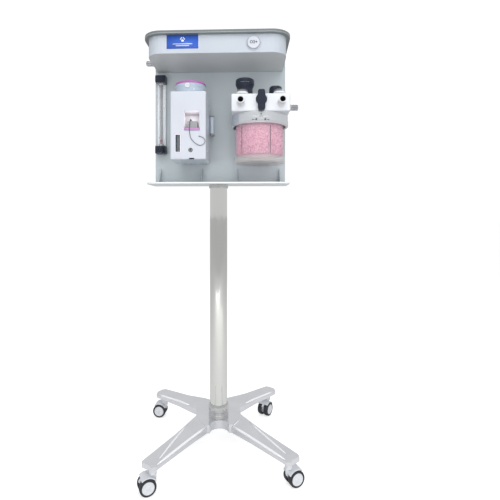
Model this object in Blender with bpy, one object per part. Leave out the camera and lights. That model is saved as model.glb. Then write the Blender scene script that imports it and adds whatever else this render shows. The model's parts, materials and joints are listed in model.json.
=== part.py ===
"""Veterinary anesthesia machine on a four-castor column stand.

Metres, +Z up. The origin is on the column's axis at floor level, +X runs along the front panel to
the right, and the front faces -Y. Each sub-part is its own object; a turning piece has its own Z
axis on its joint's axis.
"""

import math

import bmesh
import bpy
from mathutils import Matrix, Vector

GAP = 0.0003  # running gap between pieces that touch

# Stand
BASE_TURN = math.radians(6.0)  # how far the base is turned round the column
HUB_TOP = 0.105
HUB_BOTTOM = 0.077
HUB_HALF_WIDTH = 0.078
ARM_BOTTOM = 0.078
ARM_ROOT_TOP = 0.1044
ARM_TIP_TOP = 0.094
ARM_CENTRE = Vector((0.0, 0.056))  # where the arms' centre lines meet, behind the column
REAR_ARM_TIP = Vector((0.227, 0.244))
FRONT_ARM_TIP = Vector((0.216, -0.250))
ARM_CHAMFER = 0.006
STEM_INSET = 0.027  # from the arm's end to the castor's stem
COLUMN_RADIUS = 0.030
COLUMN_WALL = 0.0025
FOOT_TOP = 0.152
TOP_COLLAR_BOTTOM = 0.896

# Castors
WHEEL_RADIUS = 0.025
WHEEL_WIDTH = 0.018
WHEEL_OFFSET = 0.0045  # from the castor's middle plane to a wheel's inner face
CASTOR_TRAIL = 0.018
STEM_RADIUS = 0.0055
STEM_TOP = 0.089

# Shelf, panel and tray
SHELF_BOTTOM = 0.909
SHELF_TOP = 0.914
SHELF_HALF_WIDTH = 0.244
SHELF_FRONT = -0.078
PANEL_FRONT = 0.075
PANEL_DEPTH = 0.022
PANEL_SHEET = 0.002
PANEL_HALF_WIDTH = 0.238
PANEL_TOP = 1.3837
GUSSET_HEIGHT = 0.058
GUSSET_DEPTH = 0.060
TRAY_HALF_WIDTH = 0.228
TRAY_FRONT = -0.119
TRAY_BOTTOM = 1.325
TRAY_WALL = 0.003
TRAY_CORNER = 0.050
RIM_BOTTOM = 1.384
RIM_TOP = 1.395
RIM_OVERHANG = 0.013
RECESS_DEPTH = 0.008
FLUSH_X = 0.120
FLUSH_Z = 1.3555
FLUSH_RADIUS = 0.021
FLUSH_BORE = FLUSH_RADIUS + 0.0006  # the hole and bezel round the button
FLUSH_OUTER = 0.0242
GAS_INLET_PLACE = (-TRAY_HALF_WIDTH, 0.040, 1.3485)

# Flowmeter
FLOW_X = -0.2135
FLOW_HALF_WIDTH = 0.0193
FLOW_FRONT = 0.040
FLOW_TUBE_Y = 0.058
FLOW_BASE_BOTTOM = 1.0250
FLOW_BASE_TOP = 1.0532
FLOW_HEAD_BOTTOM = 1.2817
FLOW_HEAD_TOP = 1.3078
FLOW_KNOB_Z = 1.0360
FLOAT_REST = 1.0605

# Vaporizer
VAPORIZER_X = -0.0935
VAPORIZER_HALF_WIDTH = 0.0585
VAPORIZER_FRONT = -0.098
VAPORIZER_BACK = 0.0487
VAPORIZER_BOTTOM = 0.987
VAPORIZER_TOP = 1.210
DIAL_Y = -0.030
DIAL_RADIUS = 0.051
DIAL_SHOULDER = 1.243
LOCK_AZIMUTH = math.radians(4.4)  # the lock button's place, left of straight ahead
LOCK_Z = 1.2336
LOCK_RADIUS = 0.0083
FILLER_X = 0.0128  # the filler recess's middle, from the vaporizer's middle
FILLER_LOW = 1.081
FILLER_HIGH = 1.146
FILLER_BACK = -0.073

# Absorber
ABSORBER_X = 0.1415
ABSORBER_Y = -0.026
HEAD_LEFT = 0.0487
HEAD_RIGHT = 0.2376
HEAD_FRONT = -0.118
HEAD_BACK = 0.065
HEAD_BOTTOM = 1.138
HEAD_TOP = 1.1946
RING_RADIUS = 0.097
RING_BOTTOM = 1.101
CANISTER_RADIUS = 0.087
CANISTER_WALL = 0.004
CANISTER_BOTTOM = 0.978
CANISTER_TOP = 1.1302
GRANULE_RADIUS = 0.079
GRANULE_BOTTOM = 1.005
GRANULE_TOP = 1.126
PORT_Z = 1.164
SPIGOT_PLACE = (HEAD_RIGHT, -0.070, 1.158)

# Turned pieces: Z to the front, to the left and to the right
TO_FRONT = (math.pi / 2, 0.0, 0.0)
TO_LEFT = (0.0, -math.pi / 2, 0.0)
TO_RIGHT = (0.0, math.pi / 2, 0.0)


def clear_scene():
    for thing in list(bpy.data.objects):
        bpy.data.objects.remove(thing, do_unlink=True)


def material(name, colour, roughness, metallic=0.0, alpha=1.0):
    """A Principled material, made once and shared by name."""
    found = bpy.data.materials.get(name)
    if found:
        return found
    made = bpy.data.materials.new(name)
    made.use_nodes = True
    shader = made.node_tree.nodes["Principled BSDF"]
    shader.inputs["Base Color"].default_value = (*colour, 1.0)
    shader.inputs["Roughness"].default_value = roughness
    shader.inputs["Metallic"].default_value = metallic
    shader.inputs["Alpha"].default_value = alpha
    made.diffuse_color = (*colour, alpha)
    return made


def polished():
    return material("polished_aluminium", (0.78, 0.79, 0.82), 0.18, 1.0)


def chrome():
    return material("chrome", (0.82, 0.82, 0.81), 0.06, 1.0)


def enamel():
    return material("pale_enamel", (0.76, 0.80, 0.84), 0.35)


def black():
    return material("black_plastic", (0.02, 0.022, 0.03), 0.35)


def white():
    return material("white_plastic", (0.88, 0.89, 0.91), 0.30)


def clear():
    return material("clear_plastic", (0.90, 0.93, 0.94), 0.05, 0.0, 0.35)


def purple():
    return material("purple_plastic", (0.50, 0.16, 0.48), 0.35)


def mount_grey():
    return material("mount_grey", (0.45, 0.47, 0.50), 0.4, 0.6)


def empty(name, location, rotation=(0.0, 0.0, 0.0), parent=None):
    made = bpy.data.objects.new(name, None)
    bpy.context.scene.collection.objects.link(made)
    made.location = location
    made.rotation_euler = rotation
    made.parent = parent
    return made


def make(name, bm, finish, location=(0.0, 0.0, 0.0), rotation=(0.0, 0.0, 0.0), parent=None):
    """Turn a bmesh into a named object with one material."""
    mesh = bpy.data.meshes.new(name)
    bm.to_mesh(mesh)
    bm.free()
    mesh.materials.append(finish)
    mesh.shade_smooth()
    mesh.set_sharp_from_angle(angle=math.radians(35.0))
    made = bpy.data.objects.new(name, mesh)
    bpy.context.scene.collection.objects.link(made)
    made.location = location
    made.rotation_euler = rotation
    made.parent = parent
    return made


def combine(target, bm, operation):
    """Cut a bmesh from an object, or join it on; the bmesh is in the object's own frame."""
    mesh = bpy.data.meshes.new("operand")
    bm.to_mesh(mesh)
    bm.free()
    count = len(target.modifiers)
    operand = bpy.data.objects.new(f"{target.name}_operand_{count}", mesh)
    bpy.context.scene.collection.objects.link(operand)
    operand.parent = target
    operand.hide_render = True
    operand.display_type = "WIRE"
    modifier = target.modifiers.new(f"{operation.lower()}_{count}", "BOOLEAN")
    modifier.operation = operation
    modifier.solver = "EXACT"
    modifier.object = operand


def cut(target, bm):
    combine(target, bm, "DIFFERENCE")


def weld(target, bm):
    combine(target, bm, "UNION")


def slab(low, high, bevel=0.0, segments=2):
    """A box from corner to corner, with rounded edges where bevel is given."""
    bm = bmesh.new()
    low, high = Vector(low), Vector(high)
    place = Matrix.Translation((low + high) / 2) @ Matrix.Diagonal((*(high - low), 1.0))
    bmesh.ops.create_cube(bm, size=1.0, matrix=place)
    if bevel:
        bmesh.ops.bevel(bm, geom=bm.edges[:], offset=bevel, segments=segments, profile=0.5, affect="EDGES")
    return bm


def rounded_outline(low, high, radii, steps=6):
    """A rectangle's outline, anticlockwise from the front left, with its own radius at each corner."""
    corners = (
        (low[0], low[1], 1, 1, math.pi),
        (high[0], low[1], -1, 1, 1.5 * math.pi),
        (high[0], high[1], -1, -1, 0.0),
        (low[0], high[1], 1, -1, 0.5 * math.pi),
    )
    points = []
    for (x, y, inward_x, inward_y, start), radius in zip(corners, radii):
        if not radius:
            points.append((x, y))
            continue
        centre = (x + inward_x * radius, y + inward_y * radius)
        for step in range(steps + 1):
            angle = start + 0.5 * math.pi * step / steps
            points.append((centre[0] + radius * math.cos(angle), centre[1] + radius * math.sin(angle)))
    return points


def prism(outline, low, high):
    """An outline in X and Y, pushed up from one height to another."""
    bm = bmesh.new()
    face = bm.faces.new([bm.verts.new((x, y, low)) for x, y in outline])
    top = bmesh.ops.extrude_face_region(bm, geom=[face])["geom"]
    for vert in (item for item in top if isinstance(item, bmesh.types.BMVert)):
        vert.co.z = high
    bmesh.ops.recalc_face_normals(bm, faces=bm.faces)
    return bm


def turned(profile, steps, closed=False):
    """Spin an (r, z) profile round Z; an open profile starts and ends on the axis."""
    bm = bmesh.new()
    verts = [bm.verts.new((r, 0.0, z)) for r, z in profile]
    ends = verts[1:] + verts[:1] if closed else verts[1:]
    edges = [bm.edges.new(pair) for pair in zip(verts, ends)]
    bmesh.ops.spin(
        bm, geom=verts + edges, cent=(0.0, 0.0, 0.0), axis=(0.0, 0.0, 1.0),
        angle=2 * math.pi, steps=steps, use_merge=True,
    )
    bmesh.ops.remove_doubles(bm, verts=bm.verts[:], dist=1e-6)
    bmesh.ops.recalc_face_normals(bm, faces=bm.faces)
    return bm


def rod(radius, low, high, steps=24, centre=(0.0, 0.0), rotation=None):
    """A plain cylinder along Z, or along another axis by a rotation matrix."""
    bm = turned([(0.0, low), (radius, low), (radius, high), (0.0, high)], steps)
    bmesh.ops.translate(bm, verts=bm.verts[:], vec=(centre[0], centre[1], 0.0))
    if rotation:
        bm.transform(rotation)
    return bm


def pipe(outer, inner, low, high, steps=24):
    return turned([(inner, low), (outer, low), (outer, high), (inner, high)], steps, closed=True)


# ---------------------------------------------------------------- stand


def arm(tip, root_width, middle_width, tip_width):
    """One arm of the base as a loft of chamfered sections, flat over the hub and falling to its tip."""
    run = tip - ARM_CENTRE
    length = run.length
    along = run.normalized()
    across = Vector((-along.y, along.x))
    stations = (
        (0.020, root_width, ARM_ROOT_TOP),
        (0.085, root_width, ARM_ROOT_TOP),
        (0.55 * length, middle_width, ARM_ROOT_TOP + 0.55 * (ARM_TIP_TOP - ARM_ROOT_TOP)),
        (length - 0.010, tip_width, ARM_TIP_TOP),
        (length, tip_width - 0.020, ARM_TIP_TOP - 0.001),
    )
    bm = bmesh.new()
    rings = []
    for distance, width, top in stations:
        half = width / 2
        section = (
            (-half, ARM_BOTTOM),
            (half, ARM_BOTTOM),
            (half, top - ARM_CHAMFER),
            (half - ARM_CHAMFER, top),
            (ARM_CHAMFER - half, top),
            (-half, top - ARM_CHAMFER),
        )
        middle = ARM_CENTRE + along * distance
        rings.append([bm.verts.new((*(middle + across * side), z)) for side, z in section])
    for near, far in zip(rings, rings[1:]):
        for index in range(len(near)):
            after = (index + 1) % len(near)
            bm.faces.new((near[index], near[after], far[after], far[index]))
    bm.faces.new(rings[0])
    bm.faces.new(rings[-1])
    bmesh.ops.recalc_face_normals(bm, faces=bm.faces)
    return bm


def mirrored(point, side):
    return Vector((side * point.x, point.y))


def castor_places():
    """Each castor's name and its stem's place in the base's own frame."""
    places = {}
    for end, tip in (("rear", REAR_ARM_TIP), ("front", FRONT_ARM_TIP)):
        inward = (ARM_CENTRE - tip).normalized() * STEM_INSET
        for side_name, side in (("left", -1), ("right", 1)):
            places[f"{end}_{side_name}"] = mirrored(tip + inward, side)
    return places


def build_base(stand):
    hub_outline = [
        (-0.046, -0.066), (0.046, -0.066), (HUB_HALF_WIDTH, 0.002), (HUB_HALF_WIDTH, 0.072),
        (0.037, 0.128), (0.0, 0.112), (-0.037, 0.128),
        (-HUB_HALF_WIDTH, 0.072), (-HUB_HALF_WIDTH, 0.002),
    ]
    base = make("base_star", prism(hub_outline, HUB_BOTTOM, HUB_TOP), polished(), parent=stand)
    for side in (-1, 1):
        weld(base, arm(mirrored(REAR_ARM_TIP, side), 0.084, 0.066, 0.058))
        weld(base, arm(mirrored(FRONT_ARM_TIP, side), 0.080, 0.064, 0.056))
    # the rounded bay in the front edge, between the two front arms
    cut(base, rod(0.032, 0.050, 0.120, 32, centre=(0.0, -0.068)))
    for place in castor_places().values():
        cut(base, rod(STEM_RADIUS + 0.0005, 0.070, STEM_TOP + 0.0005, 20, centre=place))


def build_column(stand):
    bead = [
        (COLUMN_RADIUS + GAP, HUB_TOP + GAP), (0.0335, HUB_TOP + GAP), (0.0345, 0.108), (0.0345, 0.1265),
        (0.0325, 0.1285), (0.0345, 0.1305), (0.0345, 0.149), (0.0330, FOOT_TOP),
        (COLUMN_RADIUS + GAP, FOOT_TOP),
    ]
    make("column_foot", turned(bead, 40, closed=True), chrome(), parent=stand)
    top = SHELF_BOTTOM - GAP
    tube = pipe(COLUMN_RADIUS, COLUMN_RADIUS - COLUMN_WALL, HUB_TOP + GAP, top, 40)
    make("column_tube", tube, chrome(), parent=stand)
    collar = [
        (COLUMN_RADIUS + GAP, TOP_COLLAR_BOTTOM), (0.0325, TOP_COLLAR_BOTTOM),
        (0.0335, TOP_COLLAR_BOTTOM + 0.001), (0.0335, top), (COLUMN_RADIUS + GAP, top),
    ]
    make("column_collar", turned(collar, 40, closed=True), chrome(), parent=stand)


def wheel_mesh():
    """A wheel with a rounded tread and a bore, its axle along Z, inner face at zero."""
    width = WHEEL_WIDTH
    profile = [
        (0.0034, 0.0), (WHEEL_RADIUS - 0.0015, 0.0), (WHEEL_RADIUS, 0.0015), (WHEEL_RADIUS, width - 0.003),
        (WHEEL_RADIUS - 0.003, width), (0.0034, width),
    ]
    return turned(profile, 28, closed=True)


def arc(centre, radius, start, end, steps):
    angles = [math.radians(start + (end - start) * step / steps) for step in range(steps + 1)]
    return [(centre[0] + radius * math.cos(a), centre[1] + radius * math.sin(a)) for a in angles]


def side_prism(outline, low, high):
    """An outline in X and Z, pushed along Y."""
    bm = prism(outline, low, high)
    bm.transform(Matrix(((1, 0, 0, 0), (0, 0, 1, 0), (0, 1, 0, 0), (0, 0, 0, 1))))
    bmesh.ops.recalc_face_normals(bm, faces=bm.faces)
    return bm


def build_castor(name, place, heading, stand):
    """One castor: the frame turns on its stem, and each wheel turns on the frame's axle."""
    swivel = empty(f"swivel_{name}", (place.x, place.y, 0.0), (0.0, 0.0, heading), stand)
    axle = (CASTOR_TRAIL, WHEEL_RADIUS)
    half = WHEEL_OFFSET + WHEEL_WIDTH
    hood = arc(axle, WHEEL_RADIUS + 0.0045, 12, 176, 18) + arc(axle, WHEEL_RADIUS + 0.0018, 176, 12, 18)
    grey = material("castor_grey", (0.72, 0.74, 0.76), 0.4)
    cover = side_prism(hood, 0.0012 - half, half - 0.0012)
    frame = make(f"castor_frame_{name}", cover, grey, parent=swivel)
    web = arc(axle, WHEEL_RADIUS + 0.003, 16, 172, 14) + arc(axle, 0.013, 190, 350, 8)
    weld(frame, side_prism(web, 0.0005 - WHEEL_OFFSET, WHEEL_OFFSET - 0.0005))
    neck = [(-0.0110, 0.034), (0.0100, 0.034), (0.0100, 0.053), (-0.0110, 0.053)]
    weld(frame, side_prism(neck, -0.0036, 0.0036))
    pin = rod(0.003, 0.002 - half, half - 0.002, 16)
    axle_place = Matrix.Translation((CASTOR_TRAIL, 0.0, WHEEL_RADIUS))
    pin.transform(axle_place @ Matrix.Rotation(math.pi / 2, 4, "X"))
    weld(frame, pin)
    shoulder = ARM_BOTTOM - GAP
    stem = [
        (0.0, 0.0515), (0.0100, 0.0515), (0.0115, 0.0535), (0.0115, 0.073), (0.0095, shoulder),
        (STEM_RADIUS, shoulder), (STEM_RADIUS, STEM_TOP), (0.0, STEM_TOP),
    ]
    weld(frame, turned(stem, 20))
    tyre = material("castor_tyre", (0.03, 0.03, 0.035), 0.6)
    for side_name, side in (("left", 1), ("right", -1)):
        make(
            f"castor_wheel_{name}_{side_name}", wheel_mesh(), tyre,
            (CASTOR_TRAIL, side * WHEEL_OFFSET, WHEEL_RADIUS), (-side * math.pi / 2, 0.0, 0.0), swivel,
        )


# ---------------------------------------------------------------- shelf, panel and tray


def build_panel():
    back = PANEL_FRONT + PANEL_DEPTH
    sheet = slab((-PANEL_HALF_WIDTH, PANEL_FRONT, SHELF_TOP + GAP), (PANEL_HALF_WIDTH, back, PANEL_TOP))
    panel = make("back_panel", sheet, enamel())
    inner = PANEL_HALF_WIDTH - PANEL_SHEET
    low = (-inner, PANEL_FRONT + PANEL_SHEET, SHELF_TOP + GAP + PANEL_SHEET)
    cut(panel, slab(low, (inner, back + 0.010, PANEL_TOP - PANEL_SHEET)))
    shelf = rounded_outline(
        (-SHELF_HALF_WIDTH, SHELF_FRONT), (SHELF_HALF_WIDTH, back + 0.001), (0.050, 0.050, 0, 0), 8,
    )
    make("shelf", prism(shelf, SHELF_BOTTOM, SHELF_TOP), enamel())
    corner_y, corner_z = PANEL_FRONT - GAP, SHELF_TOP + GAP
    for number, x in enumerate((-0.216, -0.064, 0.064, 0.216), start=1):
        triangle = [
            (corner_y, corner_z), (corner_y - GUSSET_DEPTH, corner_z), (corner_y, corner_z + GUSSET_HEIGHT),
        ]
        plate = prism(triangle, x - 0.0015, x + 0.0015)
        # the outline was drawn in Y and Z, so X, Y, Z become Y, Z, X
        plate.transform(Matrix(((0, 0, 1, 0), (1, 0, 0, 0), (0, 1, 0, 0), (0, 0, 0, 1))))
        make(f"gusset_{number}", plate, enamel())


def inset_outline(inset, radius, front, back, half_width, steps=8):
    return rounded_outline((-half_width + inset, front + inset), (half_width - inset, back - inset),
                           (radius - inset, radius - inset, 0, 0), steps)


def build_tray():
    back = PANEL_FRONT - GAP
    body = (TRAY_CORNER, TRAY_FRONT, back, TRAY_HALF_WIDTH)
    rim = (TRAY_CORNER + RIM_OVERHANG, TRAY_FRONT - RIM_OVERHANG, PANEL_FRONT + PANEL_DEPTH + 0.001,
           TRAY_HALF_WIDTH + RIM_OVERHANG)
    tray = make("tray_shell", prism(inset_outline(0.0, *body), TRAY_BOTTOM, RIM_BOTTOM + 0.002), enamel())
    weld(tray, prism(inset_outline(0.0, *rim), RIM_BOTTOM, RIM_TOP))
    cut(tray, prism(inset_outline(0.009, *rim), RIM_TOP - RECESS_DEPTH, RIM_TOP + 0.010))
    cut(tray, prism(inset_outline(TRAY_WALL, *body), TRAY_BOTTOM - 0.010, RIM_BOTTOM - TRAY_WALL))
    hole = rod(FLUSH_BORE, -0.010, 0.010, 32)
    hole_place = Matrix.Translation((FLUSH_X, TRAY_FRONT, FLUSH_Z))
    hole.transform(hole_place @ Matrix.Rotation(math.pi / 2, 4, "X"))
    cut(tray, hole)
    plate = prism(inset_outline(TRAY_WALL + GAP, *body), TRAY_BOTTOM, TRAY_BOTTOM + 0.0025)
    make("tray_bottom", plate, enamel())


def build_flush():
    """The oxygen flush: a bezel, a push button and its valve, on one axis through the tray's front."""
    place = (FLUSH_X, TRAY_FRONT, FLUSH_Z)
    bezel = [(FLUSH_BORE, GAP), (FLUSH_OUTER, GAP), (FLUSH_OUTER, 0.0022), (FLUSH_OUTER - 0.001, 0.0032),
             (FLUSH_BORE, 0.0032)]
    make("flush_bezel", turned(bezel, 36, closed=True), material("satin_ring", (0.6, 0.61, 0.63), 0.3, 0.8),
         place, TO_FRONT)
    button = [(0.0, -0.0060), (FLUSH_RADIUS, -0.0060), (FLUSH_RADIUS, 0.0050),
              (FLUSH_RADIUS - 0.0015, 0.0062), (0.0, 0.0062)]
    make("flush_button", turned(button, 36), white(), place, TO_FRONT)
    inner = -TRAY_WALL - GAP
    valve = [
        (0.0, -0.062), (0.010, -0.062), (0.010, -0.020), (FLUSH_OUTER, -0.016), (FLUSH_OUTER, inner),
        (FLUSH_BORE, inner), (FLUSH_BORE, -0.0130), (0.0, -0.0130),
    ]
    make("flush_valve", turned(valve, 32), material("brass", (0.72, 0.58, 0.30), 0.3, 1.0), place, TO_FRONT)


def build_gas_inlet():
    profile = [
        (0.0, GAP), (0.0125, GAP), (0.0125, 0.0055), (0.0075, 0.0065), (0.0075, 0.0095), (0.0100, 0.0110),
        (0.0100, 0.0320), (0.0085, 0.0360), (0.0, 0.0360),
    ]
    make("gas_inlet", turned(profile, 24), chrome(), GAS_INLET_PLACE, TO_LEFT)


# ---------------------------------------------------------------- flowmeter


def build_flowmeter():
    back = PANEL_FRONT - GAP
    left, right = FLOW_X - FLOW_HALF_WIDTH, FLOW_X + FLOW_HALF_WIDTH
    upper = slab((left, FLOW_FRONT, FLOW_HEAD_BOTTOM), (right, back, FLOW_HEAD_TOP), 0.002)
    make("flowmeter_head", upper, black())
    lower = slab((left, FLOW_FRONT, FLOW_BASE_BOTTOM), (right, back, FLOW_BASE_TOP), 0.002)
    base = make("flowmeter_base", lower, black())
    # the seat that the float rests on, inside the tube
    weld(base, rod(0.0038, FLOW_BASE_TOP - 0.006, FLOAT_REST - GAP, 16, centre=(FLOW_X, FLOW_TUBE_Y)))
    low, high = FLOW_BASE_TOP + GAP, FLOW_HEAD_BOTTOM - GAP
    outer = rounded_outline((FLOW_X - 0.017, 0.043), (FLOW_X + 0.017, 0.073), (0.010, 0.010, 0, 0))
    inner = rounded_outline((FLOW_X - 0.015, 0.045), (FLOW_X + 0.015, 0.071), (0.008, 0.008, 0, 0))
    guard = make("flowmeter_guard", prism(outer, low, high), clear())
    cut(guard, prism(inner, low - 0.010, high + 0.010))
    make("flowmeter_tube", pipe(0.0070, 0.0052, low, high, 20), clear(), (FLOW_X, FLOW_TUBE_Y, 0.0))
    bobbin = [(0.0, 0.0), (0.0030, 0.0), (0.0030, 0.0105), (0.0045, 0.0120), (0.0045, 0.0165),
              (0.0, 0.0165)]
    make("flow_float", turned(bobbin, 16), material("float_red", (0.55, 0.03, 0.12), 0.3),
         (FLOW_X, FLOW_TUBE_Y, FLOAT_REST))
    knob = [(0.0, GAP), (0.0060, GAP), (0.0060, 0.004), (0.0110, 0.006), (0.0125, 0.008), (0.0125, 0.026),
            (0.0110, 0.028), (0.0, 0.028)]
    make("flow_knob", turned(knob, 24), black(), (FLOW_X, FLOW_FRONT, FLOW_KNOB_Z), TO_FRONT)


# ---------------------------------------------------------------- vaporizer

# the tether's route in the vaporizer's own frame: from the filler plug's boss to its eye in the body
TETHER_ROUTE = (
    (0.0078, -0.0885, 1.1190), (0.0068, -0.0935, 1.1170), (0.0054, -0.0955, 1.1020),
    (0.0053, -0.1025, 1.0900), (0.0053, -0.1030, 1.0788), (0.0063, -0.1010, 1.0700),
    (0.0083, -0.1000, 1.0592), (0.0115, -0.0998, 1.0520), (0.0207, -0.0998, 1.0416),
    (0.0292, -0.0998, 1.0354), (0.0373, -0.0998, 1.0318), (0.0458, -0.0998, 1.0324),
    (0.0530, -0.0998, 1.0374), (0.0562, -0.0998, 1.0446), (0.0538, -0.0998, 1.0525),
    (0.0478, -0.0998, 1.0578), (0.0410, -0.1000, 1.0600), (0.0365, -0.0992, 1.0617),
)
TETHER_RADIUS = 0.0009
TETHER_STEP = 0.005


def smooth_route(points, step):
    """Points at a steady spacing along a Catmull-Rom curve through the route's own points."""
    anchors = [Vector(point) for point in points]
    anchors = [2 * anchors[0] - anchors[1], *anchors, 2 * anchors[-1] - anchors[-2]]
    fine = []
    for before, start, end, after in zip(anchors, anchors[1:], anchors[2:], anchors[3:]):
        for part in range(12):
            t = part / 12
            square = 2 * before - 5 * start + 4 * end - after
            cube = 3 * start - before - 3 * end + after
            fine.append(0.5 * (2 * start + (end - before) * t + square * t ** 2 + cube * t ** 3))
    fine.append(anchors[-2])
    length = sum((b - a).length for a, b in zip(fine, fine[1:]))
    count = round(length / step)
    spaced, travelled, wanted = [fine[0]], 0.0, length / count
    for a, b in zip(fine, fine[1:]):
        piece = (b - a).length
        while travelled + piece >= wanted and len(spaced) < count:
            spaced.append(a.lerp(b, (wanted - travelled) / piece))
            wanted += length / count
        travelled += piece
    return [*spaced, fine[-1]]


def build_tether(parent):
    curve = bpy.data.curves.new("tether_cord", "CURVE")
    curve.dimensions = "3D"
    curve.bevel_depth = TETHER_RADIUS
    curve.bevel_resolution = 2
    curve.use_fill_caps = True
    curve.resolution_u = 1
    curve.materials.append(material("tether", (0.08, 0.08, 0.09), 0.6))
    points = smooth_route(TETHER_ROUTE, TETHER_STEP)
    spline = curve.splines.new("POLY")
    spline.points.add(len(points) - 1)
    for point, place in zip(spline.points, points):
        point.co = (*place, 1.0)
    cord = bpy.data.objects.new("tether_cord", curve)
    bpy.context.scene.collection.objects.link(cord)
    cord.parent = parent


def build_vaporizer():
    group = empty("vaporizer", (VAPORIZER_X, 0.0, 0.0))
    half = VAPORIZER_HALF_WIDTH
    body = make(
        "vaporizer_body",
        slab((-half, VAPORIZER_FRONT, VAPORIZER_BOTTOM), (half, VAPORIZER_BACK, VAPORIZER_TOP), 0.004, 3),
        white(), parent=group,
    )
    # the keyed filler recess has a roof that falls to the back and side walls that lean in
    front = VAPORIZER_FRONT - 0.010
    outline = [(front, FILLER_LOW), (front, FILLER_HIGH + 0.004), (FILLER_BACK, FILLER_HIGH - 0.011),
               (FILLER_BACK, FILLER_LOW)]
    recess = prism(outline, FILLER_X - 0.0255, FILLER_X + 0.0255)
    recess.transform(Matrix(((0, 0, 1, 0), (1, 0, 0, 0), (0, 1, 0, 0), (0, 0, 0, 1))))
    cut(body, recess)
    cut(body, slab((-0.0427, VAPORIZER_FRONT - 0.010, 1.0095), (-0.0247, VAPORIZER_FRONT + 0.003, 1.0685)))
    turn_front = Matrix.Rotation(math.pi / 2, 4, "X")
    drain = rod(0.0072, -0.003, 0.010, 24)
    drain.transform(Matrix.Translation((0.0083, VAPORIZER_FRONT, 1.017)) @ turn_front)
    cut(body, drain)
    cut(body, slab((0.0030, VAPORIZER_FRONT - 0.010, 0.980), (0.0200, VAPORIZER_FRONT + 0.008, 0.9915)))
    mount = slab((-0.052, VAPORIZER_BACK + GAP, 0.990), (0.052, PANEL_FRONT - GAP, 1.205), 0.002, 1)
    make("vaporizer_mount", mount, mount_grey(), parent=group)

    make("sight_glass", slab((-0.0424, -0.0988, 1.0098), (-0.0250, -0.0953, 1.0682), 0.0008, 1),
         material("dark_glass", (0.03, 0.035, 0.05), 0.08), parent=group)
    screw = [(0.0, -0.0027), (0.0052, -0.0027), (0.0052, 0.0006), (0.0044, 0.0014), (0.0, 0.0014)]
    make("drain_screw", turned(screw, 20), chrome(), (0.0083, VAPORIZER_FRONT, 1.017), TO_FRONT, group)

    plug = make("filler_plug", slab((FILLER_X - 0.0165, -0.0915, FILLER_LOW + 0.008),
                                    (FILLER_X + 0.0165, FILLER_BACK - GAP, 1.1130), 0.001, 1),
                material("plug_grey", (0.32, 0.33, 0.35), 0.5), parent=group)
    weld(plug, rod(0.0030, 1.1100, 1.1180 - GAP, 12, centre=(0.0078, -0.0870)))
    lip = [(FILLER_X - 0.0250, -0.0735), (FILLER_X - 0.0250, -0.0990), (FILLER_X - 0.0210, -0.1010),
           (FILLER_X + 0.0210, -0.1010), (FILLER_X + 0.0250, -0.0990), (FILLER_X + 0.0250, -0.0735)]
    make("filler_lip", prism(lip, FILLER_LOW + GAP, FILLER_LOW + 0.008 - GAP), purple(), parent=group)
    build_tether(group)
    build_dial(group)


def build_dial(group):
    slate = material("dial_slate", (0.42, 0.50, 0.60), 0.35)
    base = VAPORIZER_TOP + GAP
    profile = [
        (0.0, base), (DIAL_RADIUS - 0.002, base), (DIAL_RADIUS, base + 0.003), (DIAL_RADIUS, DIAL_SHOULDER),
        (0.0437, DIAL_SHOULDER), (0.0437, 1.2485), (0.0410, 1.2505), (0.0, 1.2505),
    ]
    pivot = (0.0, DIAL_Y, 0.0)
    dial = make("vaporizer_dial", turned(profile, 44), slate, pivot, parent=group)
    outward = Matrix.Rotation(-LOCK_AZIMUTH, 4, "Z") @ Matrix.Rotation(math.pi / 2, 4, "X")
    place = Matrix.Translation((0.0, 0.0, LOCK_Z)) @ outward
    cut(dial, rod(LOCK_RADIUS + 0.0005, 0.0405, DIAL_RADIUS + 0.010, 24, rotation=place))
    ring = [(0.0440, DIAL_SHOULDER + GAP), (0.0520, DIAL_SHOULDER + GAP), (0.0520, 1.2490),
            (0.0510, 1.2500), (0.0440, 1.2500)]
    make("dial_ring", turned(ring, 44, closed=True), purple(), pivot, parent=group)
    button = [(0.0, 0.0440), (LOCK_RADIUS, 0.0440), (LOCK_RADIUS, 0.0530), (LOCK_RADIUS - 0.001, 0.0540),
              (0.0, 0.0540)]
    make("dial_lock_button", turned(button, 20), white(), (0.0, DIAL_Y, LOCK_Z), outward.to_euler(), group)


def build_gas_outlet():
    """A quick connector on the panel between the vaporizer and the absorber."""
    place = (-0.0286, 0.0620, 0.0)
    profile = [
        (0.0, 1.0905), (0.0070, 1.0905), (0.0094, 1.0930), (0.0094, 1.0990), (0.0080, 1.1000),
        (0.0080, 1.1545), (0.0094, 1.1555), (0.0094, 1.1605), (0.0080, 1.1625), (0.0, 1.1625),
    ]
    outlet = make("gas_outlet", turned(profile, 20), chrome(), place)
    back = Matrix.Translation((0.0, 0.0, 1.140)) @ Matrix.Rotation(-math.pi / 2, 4, "X")
    weld(outlet, rod(0.0045, 0.002, PANEL_FRONT - GAP - place[1], 12, rotation=back))


# ---------------------------------------------------------------- absorber


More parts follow.
